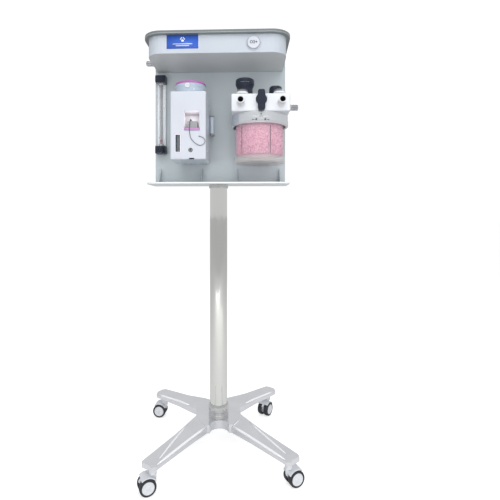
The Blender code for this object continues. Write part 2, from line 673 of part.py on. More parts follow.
def build_absorber():
    make(
        "absorber_head",
        slab((HEAD_LEFT, HEAD_FRONT, HEAD_BOTTOM), (HEAD_RIGHT, HEAD_BACK, HEAD_TOP), 0.004, 2), white(),
    )
    bracket = slab((0.062, HEAD_BACK + GAP, 1.143), (0.225, PANEL_FRONT - GAP, 1.190))
    make("absorber_bracket", bracket, mount_grey())
    top = HEAD_TOP + GAP
    for side_name, port_x, dome_x in (("left", 0.0790, 0.0830), ("right", 0.2095, 0.2045)):
        port = [(0.0088, GAP), (0.0135, GAP), (0.0135, 0.0050), (0.0112, 0.0070), (0.0108, 0.0480),
                (0.0088, 0.0480)]
        place = (port_x, HEAD_FRONT, PORT_Z)
        make(f"breathing_port_{side_name}", turned(port, 24, closed=True), white(), place, TO_FRONT)
        dome = [(0.0, 0.0155), (0.0100, 0.0150), (0.0158, 0.0128), (0.0175, 0.0095), (0.0175, 0.0),
                (0.0198, 0.0), (0.0198, 0.0100), (0.0175, 0.0148), (0.0110, 0.0172), (0.0, 0.0178)]
        make(f"valve_dome_{side_name}", turned(dome, 24), clear(), (dome_x, -0.098, top))
        disc = [(0.0, 0.0), (0.0150, 0.0), (0.0150, 0.0012), (0.0, 0.0012)]
        make(f"valve_disc_{side_name}", turned(disc, 20), material("disc_white", (0.9, 0.9, 0.88), 0.4),
             (dome_x, -0.098, top))
    build_knobs(top)
    build_lever()
    barb = [(0.0, GAP), (0.0112, GAP), (0.0112, 0.0050), (0.0080, 0.0060), (0.0080, 0.0085),
            (0.0104, 0.0095), (0.0104, 0.0270), (0.0085, 0.0292), (0.0, 0.0292)]
    make("hose_spigot", turned(barb, 24), chrome(), SPIGOT_PLACE, TO_RIGHT)
    build_canister()


def build_knobs(top):
    relief = [
        (0.0, top), (0.0275, top), (0.0275, 1.2350), (0.0300, 1.2395), (0.0318, 1.2440), (0.0318, 1.2545),
        (0.0300, 1.2600), (0.0240, 1.2622), (0.0, 1.2625),
    ]
    make("pressure_knob", turned(relief, 32), black(), (0.0920, -0.040, 0.0))
    small = [(0.0, top), (0.0220, top), (0.0220, 1.2250), (0.0215, 1.2305), (0.0180, 1.2352),
             (0.0100, 1.2375), (0.0, 1.2380)]
    make("vent_knob", turned(small, 28), black(), (0.1955, -0.040, 0.0))


def build_lever():
    """The selector: a round base and an upright handle that turn together about the head's front face."""
    pivot = (0.1450, HEAD_FRONT, 1.1745)
    lever = make("selector_lever", rod(0.0180, GAP, 0.0080, 28), black(), pivot, TO_FRONT)
    # in the lever's own frame +Y is up the handle and +Z is to the front
    weld(lever, slab((-0.0125, -0.0380, 0.0065), (0.0125, 0.0285, 0.0200), 0.003, 2))


def build_canister():
    place = (ABSORBER_X, ABSORBER_Y, 0.0)
    high = HEAD_BOTTOM - GAP
    ring = [
        (CANISTER_RADIUS + 0.0015, RING_BOTTOM), (RING_RADIUS - 0.0015, RING_BOTTOM),
        (RING_RADIUS, RING_BOTTOM + 0.002), (RING_RADIUS, high), (0.080, high), (0.080, 1.1310),
        (CANISTER_RADIUS + 0.0015, 1.1310),
    ]
    make("lock_ring", turned(ring, 48, closed=True), material("ring_grey", (0.80, 0.82, 0.84), 0.3), place)
    inner = CANISTER_RADIUS - CANISTER_WALL
    cup = [
        (0.0, CANISTER_BOTTOM), (CANISTER_RADIUS - 0.002, CANISTER_BOTTOM),
        (CANISTER_RADIUS, CANISTER_BOTTOM + 0.002), (CANISTER_RADIUS, CANISTER_TOP), (inner, CANISTER_TOP),
        (inner, GRANULE_BOTTOM - GAP), (0.074, GRANULE_BOTTOM - GAP), (0.074, CANISTER_BOTTOM + 0.005),
        (0.0, CANISTER_BOTTOM + 0.005),
    ]
    make("canister", turned(cup, 44), clear(), place)
    granules = [(0.0, GRANULE_BOTTOM), (GRANULE_RADIUS, GRANULE_BOTTOM), (GRANULE_RADIUS, GRANULE_TOP),
                (0.0, GRANULE_TOP)]
    make("absorbent", turned(granules, 40), material("absorbent_pink", (0.72, 0.36, 0.47), 0.9), place)


def main():
    clear_scene()
    stand = empty("stand", (0.0, 0.0, 0.0), (0.0, 0.0, BASE_TURN))
    build_base(stand)
    build_column(stand)
    headings = {"rear_left": 169.0, "rear_right": 233.0, "front_left": 200.0, "front_right": 20.0}
    for name, place in castor_places().items():
        build_castor(name, place, math.radians(headings[name]), stand)
    build_panel()
    build_tray()
    build_flush()
    build_gas_inlet()
    build_flowmeter()
    build_vaporizer()
    build_gas_outlet()
    build_absorber()


main()
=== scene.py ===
"""The looks of a veterinary anesthesia machine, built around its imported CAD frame."""

import json
import math

import bmesh
import bpy
import numpy as np
from mathutils import Euler, Matrix, Vector


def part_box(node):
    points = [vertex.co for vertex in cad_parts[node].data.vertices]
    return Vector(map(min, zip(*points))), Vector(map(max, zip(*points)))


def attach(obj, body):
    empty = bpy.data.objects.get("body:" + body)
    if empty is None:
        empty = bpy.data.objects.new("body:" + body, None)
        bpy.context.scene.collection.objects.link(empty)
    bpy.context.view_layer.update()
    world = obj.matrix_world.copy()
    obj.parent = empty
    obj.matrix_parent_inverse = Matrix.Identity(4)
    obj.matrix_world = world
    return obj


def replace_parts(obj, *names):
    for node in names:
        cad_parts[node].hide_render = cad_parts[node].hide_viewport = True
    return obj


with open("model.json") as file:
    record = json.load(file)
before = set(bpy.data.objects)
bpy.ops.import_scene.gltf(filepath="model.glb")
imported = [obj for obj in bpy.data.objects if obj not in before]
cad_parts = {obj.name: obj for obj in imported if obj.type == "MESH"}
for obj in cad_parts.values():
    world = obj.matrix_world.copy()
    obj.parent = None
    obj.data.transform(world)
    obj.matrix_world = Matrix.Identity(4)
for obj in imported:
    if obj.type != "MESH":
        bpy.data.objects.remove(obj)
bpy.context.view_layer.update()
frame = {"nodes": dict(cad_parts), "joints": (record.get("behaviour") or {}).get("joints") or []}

FRONT = Euler((math.pi / 2, 0.0, 0.0))  # a turned piece's Z to the front
LEFT = Euler((0.0, -math.pi / 2, 0.0))
RIGHT = Euler((0.0, math.pi / 2, 0.0))
BACK = Euler((-math.pi / 2, 0.0, 0.0))
CASTORS = ("front_left", "front_right", "rear_left", "rear_right")


# ---------------------------------------------------------------- camera, floor and light

# a light's place, what it points at, its size, its watts, and whether glossy surfaces reflect it
LIGHTS = {
    "key": ((0.55, -3.0, 2.3), (0.0, 0.0, 1.0), (3.0, 1.8), 37.0, False),
    "low": ((-0.3, -2.8, 0.6), (0.0, 0.0, 0.7), (2.4, 1.0), 20.0, False),
    "fill": ((1.6, -1.6, 0.7), (0.0, 0.0, 1.0), (1.0, 1.0), 5.0, False),
    "top": ((0.1, -1.5, 3.0), (0.0, 0.0, 0.3), (2.5, 0.9), 15.0, True),
    "back": ((0.4, 2.6, 2.4), (0.0, 0.0, 0.9), (1.6, 1.2), 14.0, False),
}
BACKDROP_LIGHT, BACKDROP_SEEN = 0.6, 1.06
FLOOR_GREY, FLOOR_GLOW_SEEN = 0.72, 0.58
FLOOR_HALF, FLOOR_DROP = 40.0, 0.0005


# solved from the photograph, with the ports and the castors as its scale
CAMERA_PLACE, CAMERA_TURN = (0.0987, -1.4652, 0.821), math.radians(2.3)
CAMERA_LENS, CAMERA_SHIFT = 30.3, (0.04, -0.08)


def make_camera():
    data = bpy.data.cameras.new("camera")
    data.lens = CAMERA_LENS
    data.sensor_width = 36.0
    data.shift_x, data.shift_y = CAMERA_SHIFT
    camera = bpy.data.objects.new("camera", data)
    camera.location = CAMERA_PLACE
    camera.rotation_euler = (math.pi / 2, 0.0, CAMERA_TURN)
    bpy.context.scene.collection.objects.link(camera)
    bpy.context.scene.camera = camera


def area_light(name, place, target, size, watts, reflected):
    data = bpy.data.lights.new(name, "AREA")
    data.shape = "RECTANGLE"
    data.size, data.size_y = size
    data.energy = watts
    light = bpy.data.objects.new(name, data)
    light.location = place
    light.rotation_euler = (Vector(target) - Vector(place)).to_track_quat("-Z", "Y").to_euler()
    light.visible_glossy = reflected
    bpy.context.scene.collection.objects.link(light)


def seen_directly(tree, plain_value, seen_value):
    """One strength for what the camera sees of the studio, another for the light it gives."""
    path = tree.nodes.new("ShaderNodeLightPath")
    pick = tree.nodes.new("ShaderNodeMapRange")
    pick.inputs["To Min"].default_value = plain_value
    pick.inputs["To Max"].default_value = seen_value
    tree.links.new(path.outputs["Is Camera Ray"], pick.inputs["Value"])
    return pick.outputs["Result"]


def make_world():
    world = bpy.data.worlds.new("studio")
    world.use_nodes = True
    tree = world.node_tree
    backdrop = tree.nodes["Background"]
    backdrop.inputs["Color"].default_value = (0.985, 0.99, 1.0, 1.0)
    tree.links.new(seen_directly(tree, BACKDROP_LIGHT, BACKDROP_SEEN), backdrop.inputs["Strength"])
    return world


def floor_finish():
    """A pale floor that reads as white paper, with the object's soft shadow on it."""
    material = plain("floor_pale", (FLOOR_GREY,) * 3, 0.8)
    tree = material.node_tree
    shader = tree.nodes["Principled BSDF"]
    shader.inputs["Emission Color"].default_value = (1.0, 1.0, 1.0, 1.0)
    tree.links.new(seen_directly(tree, 0.0, FLOOR_GLOW_SEEN), shader.inputs["Emission Strength"])
    return material


def make_studio():
    scene = bpy.context.scene
    scene.view_settings.view_transform = "Standard"
    scene.world = make_world()
    for name, facts in LIGHTS.items():
        area_light(name, *facts)

    floor_mesh = bpy.data.meshes.new("floor")
    corners = [(x * FLOOR_HALF, y * FLOOR_HALF, 0) for x, y in ((-1, -1), (1, -1), (1, 1), (-1, 1))]
    floor_mesh.from_pydata(corners, [], [(0, 1, 2, 3)])
    floor = bpy.data.objects.new("floor", floor_mesh)
    floor.location.z = -FLOOR_DROP
    floor_mesh.materials.append(floor_finish())
    scene.collection.objects.link(floor)


# ---------------------------------------------------------------- materials


def plain(name, colour, roughness, metallic=0.0, coat=0.0, alpha=1.0):
    material = bpy.data.materials.new(name)
    material.use_nodes = True
    shader = material.node_tree.nodes["Principled BSDF"]
    shader.inputs["Base Color"].default_value = (*colour, 1.0)
    shader.inputs["Roughness"].default_value = roughness
    shader.inputs["Metallic"].default_value = metallic
    shader.inputs["Coat Weight"].default_value = coat
    shader.inputs["Alpha"].default_value = alpha
    return material


def noise(tree, coordinates, scale, detail=3.0, stretch=(1.0, 1.0, 1.0)):
    mapping = tree.nodes.new("ShaderNodeMapping")
    mapping.inputs["Scale"].default_value = stretch
    texture = tree.nodes.new("ShaderNodeTexNoise")
    texture.inputs["Scale"].default_value = scale
    texture.inputs["Detail"].default_value = detail
    tree.links.new(coordinates, mapping.inputs["Vector"])
    tree.links.new(mapping.outputs["Vector"], texture.inputs["Vector"])
    return texture.outputs["Fac"]


def finish(name, colour, shade, roughness, patch=9.0, grain=900.0, bump=0.02, metallic=0.0, coat=0.0, alpha=1.0,
           stretch=(1.0, 1.0, 1.0)):
    """A surface whose colour and gloss wander slightly over large patches, with a fine grain in its relief.

    colour and shade are the two ends of the colour's wander, and roughness is a pair of ends too."""
    material = plain(name, colour, roughness[0], metallic, coat, alpha)
    tree = material.node_tree
    shader = tree.nodes["Principled BSDF"]
    coordinates = tree.nodes.new("ShaderNodeTexCoord").outputs["Object"]

    wander = noise(tree, coordinates, patch, 4.0, stretch)
    ramp = tree.nodes.new("ShaderNodeValToRGB")
    ramp.color_ramp.elements[0].position = 0.3
    ramp.color_ramp.elements[0].color = (*shade, 1.0)
    ramp.color_ramp.elements[1].position = 0.7
    ramp.color_ramp.elements[1].color = (*colour, 1.0)
    tree.links.new(wander, ramp.inputs["Fac"])
    tree.links.new(ramp.outputs["Color"], shader.inputs["Base Color"])

    gloss = tree.nodes.new("ShaderNodeMapRange")
    gloss.inputs["To Min"].default_value = roughness[0]
    gloss.inputs["To Max"].default_value = roughness[1]
    tree.links.new(noise(tree, coordinates, patch * 6, 5.0, stretch), gloss.inputs["Value"])
    tree.links.new(gloss.outputs["Result"], shader.inputs["Roughness"])

    relief = tree.nodes.new("ShaderNodeBump")
    relief.inputs["Strength"].default_value = bump
    relief.inputs["Distance"].default_value = 0.001
    tree.links.new(noise(tree, coordinates, grain, 2.0, stretch), relief.inputs["Height"])
    tree.links.new(relief.outputs["Normal"], shader.inputs["Normal"])
    return material


def banded(material, low, high, colour):
    """Another colour between two heights of an object that stands at the frame's own origin."""
    tree = material.node_tree
    shader = tree.nodes["Principled BSDF"]
    own = shader.inputs["Base Color"].links[0].from_socket
    split = tree.nodes.new("ShaderNodeSeparateXYZ")
    tree.links.new(tree.nodes.new("ShaderNodeTexCoord").outputs["Object"], split.inputs["Vector"])
    inside = []
    for operation, height in (("GREATER_THAN", low), ("LESS_THAN", high)):
        test = tree.nodes.new("ShaderNodeMath")
        test.operation = operation
        test.inputs[1].default_value = height
        tree.links.new(split.outputs["Z"], test.inputs[0])
        inside.append(test.outputs["Value"])
    both = tree.nodes.new("ShaderNodeMath")
    both.operation = "MULTIPLY"
    tree.links.new(inside[0], both.inputs[0])
    tree.links.new(inside[1], both.inputs[1])
    mix = tree.nodes.new("ShaderNodeMix")
    mix.data_type = "RGBA"
    mix.inputs["B"].default_value = (*colour, 1.0)
    tree.links.new(both.outputs["Value"], mix.inputs["Factor"])
    tree.links.new(own, mix.inputs["A"])
    tree.links.new(mix.outputs["Result"], shader.inputs["Base Color"])


def granule_finish():
    """Soda lime: every grain has its own colour, from near white to deep pink."""
    material = plain("absorbent_grains", (0.8, 0.45, 0.56), 0.85)
    tree = material.node_tree
    shader = tree.nodes["Principled BSDF"]
    coordinates = tree.nodes.new("ShaderNodeTexCoord").outputs["Object"]
    cells = tree.nodes.new("ShaderNodeTexVoronoi")
    cells.inputs["Scale"].default_value = 380.0
    tree.links.new(coordinates, cells.inputs["Vector"])
    split = tree.nodes.new("ShaderNodeSeparateColor")
    tree.links.new(cells.outputs["Color"], split.inputs["Color"])
    ramp = tree.nodes.new("ShaderNodeValToRGB")
    stops = ramp.color_ramp.elements
    stops[0].color = (0.36, 0.1, 0.22, 1.0)
    stops[1].color = (0.91, 0.62, 0.71, 1.0)
    for position, colour in ((0.35, (0.8, 0.34, 0.47, 1.0)), (0.7, (0.83, 0.43, 0.56, 1.0))):
        stops.new(position).color = colour
    tree.links.new(split.outputs["Red"], ramp.inputs["Fac"])
    tree.links.new(ramp.outputs["Color"], shader.inputs["Base Color"])
    relief = tree.nodes.new("ShaderNodeBump")
    relief.inputs["Strength"].default_value = 0.3
    relief.inputs["Distance"].default_value = 0.001
    tree.links.new(noise(tree, coordinates, 1400.0), relief.inputs["Height"])
    tree.links.new(relief.outputs["Normal"], shader.inputs["Normal"])
    return material


# painted shade on the tray's rim: a dark colour in two bands of height that leave the recess's floor between them light
RIM_SHADE_BANDS = ((1.3838, 1.3866), (1.3874, 1.3945))
RIM_SHADE_COLOUR = (0.165, 0.185, 0.185)


def make_finishes():
    finishes = {
        # enamel and shelf are shaded and lit copies of one white enamel: the back panel's and gussets' copy is darker,
        # painted shade for the shade under the tray, and the shelf's copy is lighter, painted light for the light on
        # its front
        "enamel": finish("enamel", (0.5, 0.555, 0.58), (0.47, 0.525, 0.55), (0.3, 0.42), bump=0.05, coat=0.15),
        "shelf": finish("shelf_enamel_lit_copy", (0.84, 0.885, 0.91), (0.8, 0.85, 0.875), (0.3, 0.42), bump=0.05, coat=0.15),
        # tray and tray_under are two copies of the tray's one enamel, each coloured for the light that falls on the
        # tray's front and on its underside: painted light and shade
        "tray": finish("tray_enamel", (0.51, 0.555, 0.615), (0.485, 0.53, 0.59), (0.28, 0.4), bump=0.04, coat=0.2),
        "tray_under": finish("tray_underside", (0.56, 0.575, 0.585), (0.53, 0.545, 0.555), (0.35, 0.45), bump=0.04),
        "aluminium": finish("polished_aluminium", (0.93, 0.94, 0.97), (0.87, 0.88, 0.92), (0.1, 0.2), patch=14.0,
                            grain=300.0, bump=0.03, metallic=0.9),
        "chrome": finish("chrome", (0.93, 0.935, 0.9), (0.87, 0.875, 0.84), (0.03, 0.09), patch=5.0, grain=60.0,
                         bump=0.004, metallic=1.0, stretch=(1.0, 1.0, 0.15)),
        # near white and barely metallic: a painted highlight on the base's arms
        "rib": finish("rib_painted_highlight", (0.98, 0.98, 1.0), (0.94, 0.95, 0.98), (0.1, 0.2), patch=30.0, metallic=0.25,
                      coat=0.3),
        "nickel": finish("nickel", (0.74, 0.74, 0.74), (0.6, 0.6, 0.6), (0.12, 0.25), patch=40.0, metallic=1.0),
        "satin": finish("satin_metal", (0.62, 0.63, 0.66), (0.54, 0.55, 0.58), (0.25, 0.38), patch=60.0, metallic=1.0),
        "brass": finish("brass", (0.72, 0.55, 0.28), (0.62, 0.46, 0.22), (0.2, 0.35), patch=50.0, metallic=1.0),
        "cast": finish("cast_grey", (0.42, 0.44, 0.47), (0.36, 0.38, 0.41), (0.35, 0.5), grain=500.0, bump=0.2,
                       metallic=0.7),
        "white": finish("white_plastic", (0.75, 0.775, 0.81), (0.72, 0.745, 0.785), (0.18, 0.28), bump=0.02, coat=0.3),
        "vaporizer": finish("vaporizer_white", (0.59, 0.62, 0.685), (0.565, 0.595, 0.66), (0.2, 0.3), bump=0.02,
                            coat=0.3),
        "ring": finish("ring_grey", (0.84, 0.87, 0.9), (0.8, 0.83, 0.86), (0.18, 0.26), bump=0.02, metallic=0.8),
        "black": finish("black_plastic", (0.014, 0.02, 0.038), (0.01, 0.014, 0.028), (0.26, 0.42), patch=30.0,
                        grain=1500.0, bump=0.1),
        "dial": finish("dial_slate", (0.45, 0.53, 0.62), (0.41, 0.49, 0.58), (0.25, 0.36), patch=30.0, bump=0.03),
        "purple": finish("purple_plastic", (0.52, 0.13, 0.47), (0.45, 0.1, 0.41), (0.22, 0.34), patch=40.0),
        "plug": finish("plug_grey", (0.36, 0.37, 0.38), (0.3, 0.31, 0.33), (0.4, 0.55), patch=60.0, bump=0.1),
        "recess": finish("recess_grey", (0.97, 0.93, 0.98), (0.94, 0.9, 0.95), (0.3, 0.4), patch=40.0),
        "lip": finish("recess_lip", (0.52, 0.27, 0.52), (0.48, 0.24, 0.48), (0.3, 0.4), patch=40.0),
        "dark_glass": finish("dark_glass", (0.035, 0.045, 0.055), (0.02, 0.028, 0.04), (0.05, 0.12), patch=60.0,
                             bump=0.005, coat=1.0),
        "tyre": finish("tyre_rubber", (0.035, 0.037, 0.045), (0.022, 0.024, 0.03), (0.5, 0.7), patch=60.0, bump=0.2),
        "castor": finish("castor_grey", (0.72, 0.74, 0.77), (0.66, 0.68, 0.72), (0.28, 0.4), patch=40.0),
        "cord": finish("tether_cord", (0.07, 0.075, 0.085), (0.045, 0.05, 0.06), (0.4, 0.6), patch=120.0),
        "float": finish("float_red", (0.5, 0.008, 0.09), (0.4, 0.006, 0.07), (0.2, 0.3), patch=90.0),
        "mark": finish("mark_dark", (0.06, 0.07, 0.09), (0.04, 0.05, 0.07), (0.4, 0.5), patch=90.0),
        "print_white": finish("print_white", (0.88, 0.9, 0.94), (0.84, 0.86, 0.9), (0.3, 0.4), patch=60.0),
        "print_blue": finish("print_blue", (0.052, 0.145, 0.62), (0.046, 0.13, 0.57), (0.25, 0.35), patch=60.0),
        "scale": finish("scale_strip", (0.93, 0.97, 1.0), (0.9, 0.95, 1.0), (0.3, 0.4), patch=40.0),
        "clear": finish("clear_acrylic", (0.92, 0.95, 0.98), (0.88, 0.92, 0.95), (0.02, 0.06), patch=20.0, bump=0.004,
                        coat=0.3, alpha=0.1),
        "clear_base": finish("clear_acrylic_thick", (0.84, 0.81, 0.8), (0.76, 0.73, 0.72), (0.05, 0.12), patch=20.0,
                             bump=0.01, coat=0.4, alpha=0.28),
        "disc": finish("ceramic_disc", (0.85, 0.85, 0.82), (0.78, 0.78, 0.75), (0.3, 0.4), patch=90.0),
        # near black, painted shade: it lines holes, sockets and gaps that are dark only because light does not reach
        # into them
        "hole_shade": finish("bore_black", (0.012, 0.012, 0.015), (0.008, 0.008, 0.01), (0.5, 0.7), patch=90.0),
        "grains": granule_finish(),
        "faint": finish("mark_grey", (0.36, 0.39, 0.44), (0.32, 0.35, 0.4), (0.4, 0.5), patch=90.0),
        "level": finish("liquid_level", (0.16, 0.18, 0.19), (0.13, 0.15, 0.16), (0.1, 0.2), patch=60.0, coat=0.8),
        "port": finish("port_white", (0.74, 0.75, 0.77), (0.7, 0.71, 0.73), (0.35, 0.45), patch=20.0, bump=0.01),
        "anodised": finish("anodised_silver", (0.74, 0.82, 0.92), (0.69, 0.77, 0.87), (0.32, 0.42), patch=60.0,
                           metallic=0.35),
    }
    # the painted shade on the tray's rim
    for low, high in RIM_SHADE_BANDS:
        banded(finishes["tray"], low, high, RIM_SHADE_COLOUR)
    return finishes


FINISHES = make_finishes()


# ---------------------------------------------------------------- shapes


def place_piece(name, bm, material, body="stand", location=(0.0, 0.0, 0.0), turn=None, replaces=None):
    """Turn a bmesh into a named piece that rides on a CAD body, and may stand for one of its nodes."""
    bmesh.ops.recalc_face_normals(bm, faces=bm.faces)
    mesh = bpy.data.meshes.new(name)
    bm.to_mesh(mesh)
    bm.free()
    mesh.materials.append(FINISHES[material])
    mesh.shade_smooth()
    piece = bpy.data.objects.new(name, mesh)
    bpy.context.scene.collection.objects.link(piece)
    piece.location = location
    if turn:
        piece.rotation_euler = turn
    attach(piece, body)
    if replaces:
        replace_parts(piece, replaces)
    return piece


def soften(piece, width, segments=2, angle=32.0):
    """Round a piece's sharp edges and keep its flat faces flat."""
    modifier = piece.modifiers.new("soft_edges", "BEVEL")
    modifier.width = width
    modifier.segments = segments
    modifier.limit_method = "ANGLE"
    modifier.angle_limit = math.radians(angle)
    modifier.harden_normals = True
    modifier.miter_outer = "MITER_ARC"
    return piece


def box(node):
    """A node's lowest corner, middle and highest corner."""
    low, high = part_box(node)
    return low, (low + high) / 2, high


def mm(*points):
    """Points given in millimetres, in the frame's metres."""
    return [tuple(value / 1000 for value in point) for point in points]


def facing(out):
    """The turn that brings a piece's Z to a direction."""
    return Vector(out).to_track_quat("Z", "Y").to_euler()


def turned(profile, steps=72):
    """Radii and heights turned round Z; a profile that starts off the axis closes on itself."""
    bm = bmesh.new()
    verts = [bm.verts.new((r, 0.0, z)) for r, z in profile]
    ends = verts[1:] + verts[:1] if profile[0][0] > 0.0 else verts[1:]
    edges = [bm.edges.new(pair) for pair in zip(verts, ends)]
    bmesh.ops.spin(bm, geom=verts + edges, cent=(0, 0, 0), axis=(0, 0, 1), angle=2 * math.pi, steps=steps,
                   use_merge=True)
    bmesh.ops.remove_doubles(bm, verts=bm.verts[:], dist=1e-7)
    return bm


def lathe(name, profile, material, body="stand", location=(0.0, 0.0, 0.0), turn=None, steps=72,
          edge=0.0004, replaces=None):
    """A turned piece with rounded edges."""
    piece = place_piece(name, turned(profile, steps), material, body, location, turn, replaces)
    return soften(piece, edge) if edge else piece


def cuboid(low, high):
    """A box between two corners."""
    bm = bmesh.new()
    low, high = Vector(low), Vector(high)
    bmesh.ops.create_cube(bm, size=1.0, matrix=Matrix.Translation((low + high) / 2)
                          @ Matrix.Diagonal((*(high - low), 1.0)))
    return bm


def block(name, low, high, material, body="stand", edge=0.001, segments=3, replaces=None):
    """A box between two corners, with rounded edges."""
    return soften(place_piece(name, cuboid(low, high), material, body, replaces=replaces), edge, segments)


def extruded(outline, low, high):
    """An outline in X and Y, drawn out along Z from low to high."""
    bm = bmesh.new()
    face = bm.faces.new([bm.verts.new((x, y, low)) for x, y in outline])
    top = bmesh.ops.extrude_face_region(bm, geom=[face])["geom"]
    for vert in (item for item in top if isinstance(item, bmesh.types.BMVert)):
        vert.co.z = high
    return bm


def round_rectangle(half_x, half_y, radius, steps=8, centre=(0.0, 0.0)):
    """The outline of a rectangle with round corners, from half its sizes."""
    points = []
    for index, (sx, sy) in enumerate(((1, 1), (-1, 1), (-1, -1), (1, -1))):
        for step in range(steps + 1):
            angle = math.pi / 2 * (index + step / steps)
            points.append((centre[0] + sx * (half_x - radius) + radius * math.cos(angle),
                           centre[1] + sy * (half_y - radius) + radius * math.sin(angle)))
    return points


def circle(radius, steps=24, centre=(0.0, 0.0), stretch=1.0):
    """A round outline; stretch makes it taller than wide."""
    return [(centre[0] + radius * math.cos(2 * math.pi * k / steps),
             centre[1] + stretch * radius * math.sin(2 * math.pi * k / steps)) for k in range(steps)]


def joined(parts):
    """Several closed bmeshes as one."""
    whole = bmesh.new()
    for part in parts:
        mesh = bpy.data.meshes.new("part")
        part.to_mesh(mesh)
        part.free()
        whole.from_mesh(mesh)
        bpy.data.meshes.remove(mesh)
    return whole


def moved(bm, matrix):
    bm.transform(matrix)
    return bm


def stitched(bm, rings):
    """Faces between each ring of vertices and the next."""
    for near, far in zip(rings, rings[1:]):
        for index in range(len(near)):
            after = (index + 1) % len(near)
            bm.faces.new((near[index], near[after], far[after], far[index]))


def fluted(profile, ridges, depth, steps_per_ridge=8):
    """A turned shape whose side goes in and out round the axis; each profile point says how much of it."""
    bm = bmesh.new()
    steps = ridges * steps_per_ridge
    rings = []
    for r, z, share in profile:
        ring = []
        for step in range(steps):
            angle = 2 * math.pi * step / steps
            dip = depth * share * (0.5 - 0.5 * math.cos(ridges * angle)) ** 2
            ring.append(bm.verts.new(((r - dip) * math.cos(angle), (r - dip) * math.sin(angle), z)))
        rings.append(ring)
    stitched(bm, rings)
    bm.faces.new(rings[0])
    bm.faces.new(rings[-1])
    return bm


def dress(node, material, edge=0.0, segments=2):
    """Give a CAD node that stays its own material and rounded edges."""
    piece = frame["nodes"][node]
    piece.data.materials.clear()
    piece.data.materials.append(FINISHES[material])
    if edge:
        weld = piece.modifiers.new("weld", "WELD")
        weld.merge_threshold = 0.00001
        soften(piece, edge, segments)
    return piece


# ---------------------------------------------------------------- stand


def joint(name):
    """The facts of one of the frame's joints."""
    return next(entry for entry in frame["joints"] if entry["name"] == name)


def dress_stand():
    dress("base_star", "aluminium", 0.0016, 3)
    make_castor_frames()
    make_ribs()
    tube_low, tube_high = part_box("column_tube")
    foot_low, foot_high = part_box("column_foot")
    collar_low, collar_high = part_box("column_collar")
    tube_radius = tube_high.x
    tube = [(tube_radius - 0.0025, tube_low.z), (tube_radius, tube_low.z), (tube_radius, tube_high.z),
            (tube_radius - 0.0025, tube_high.z)]
    lathe("column_tube_bright", tube, "chrome", "stand", steps=96, replaces="column_tube")

    inner, outer, z = tube_radius + 0.0002, foot_high.x, foot_low.z
    foot = [(inner, z), (outer, z), (outer, z + 0.011), (outer - 0.0016, z + 0.013), (outer - 0.0016, z + 0.02),
            (outer, z + 0.022), (outer, z + 0.038), (outer - 0.002, z + 0.044), (inner + 0.001, foot_high.z),
            (inner, foot_high.z)]
    lathe("column_foot_bright", foot, "nickel", "stand", steps=96,
          replaces="column_foot")
    collar = [(inner, collar_low.z), (outer - 0.003, collar_low.z), (collar_high.x, collar_low.z + 0.002),
              (collar_high.x, collar_high.z), (inner, collar_high.z)]
    lathe("column_collar_bright", collar, "nickel", "stand", steps=96,
          replaces="column_collar")
    for number, angle in enumerate((-0.9, 0.9, 2.2, -2.2), start=1):
        out = Vector((math.sin(angle), -math.cos(angle), 0.0))
        socket_screw(f"foot_screw_{number}", out * (outer - 0.0012) + Vector((0, 0, z + 0.03)), out, 0.0034)


def arc(centre, radius, start, end, steps):
    """Points on a circle's arc, between two angles in degrees."""
    angles = [math.radians(start + (end - start) * step / steps) for step in range(steps + 1)]
    return [(centre[0] + radius * math.cos(angle), centre[1] + radius * math.sin(angle)) for angle in angles]


def sideways(outline, half):
    """An outline in X and Z, as thick as twice half along Y."""
    return moved(extruded(outline, -half, half), Matrix(((1, 0, 0, 0), (0, 0, 1, 0), (0, 1, 0, 0), (0, 0, 0, 1))))


def make_castor_frames():
    """A short hood over each pair of wheels, the web and the axle between them, and the stem."""
    for name in CASTORS:
        stem = Vector(joint(f"castor_{name}_swivel")["pos_m"])
        wheels = [Vector(joint(f"castor_wheel_{name}_{side}_roll")["pos_m"]) for side in ("left", "right")]
        middle = (wheels[0] + wheels[1]) / 2
        trail = Vector((middle.x - stem.x, middle.y - stem.y))
        axle = (trail.length, middle.z)
        hood = arc(axle, 0.0292, 50, 150, 16) + arc(axle, 0.0268, 150, 50, 16)
        web = arc(axle, 0.0278, 30, 165, 16) + arc(axle, 0.012, 190, 350, 8)
        neck = mm((-10, 36), (9.5, 36), (10.5, 54), (-10.5, 54))
        shank = turned([(0.0, 0.0515), (0.01, 0.0515), (0.0115, 0.0535), (0.0115, 0.069), (0.0108, 0.0705),
                        (0.0095, 0.0775), (0.0053, 0.0775), (0.0053, 0.088), (0.0, 0.088)], 40)
        pin = moved(turned([(0.0, -0.0195), (0.003, -0.0195), (0.003, 0.0195), (0.0, 0.0195)], 24),
                    Matrix.Translation((axle[0], 0.0, axle[1])) @ Matrix.Rotation(math.pi / 2, 4, "X"))
        parts = joined([sideways(hood, 0.0208), sideways(web, 0.0038), sideways(neck, 0.0036), shank, pin])
        turn = Euler((0.0, 0.0, math.atan2(trail.y, trail.x)))
        piece = place_piece(f"castor_fork_{name}", parts, "castor", f"castor_{name}",
                            (stem.x, stem.y, 0.0), turn)
        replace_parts(soften(piece, 0.0006), f"castor_frame_{name}")


BASE_TURN = math.radians(6.0)
ARM_CENTRE = Vector((0.0, 0.056))
FRONT_ARM = ((0.216, -0.25), ((0.085, 0.04), (0.206, 0.032), (0.3646, 0.028)), 0.0104 / 0.2796)
REAR_ARM = ((0.227, 0.244), ((0.085, 0.042), (0.162, 0.033), (0.2847, 0.029)), 0.0104 / 0.1997)
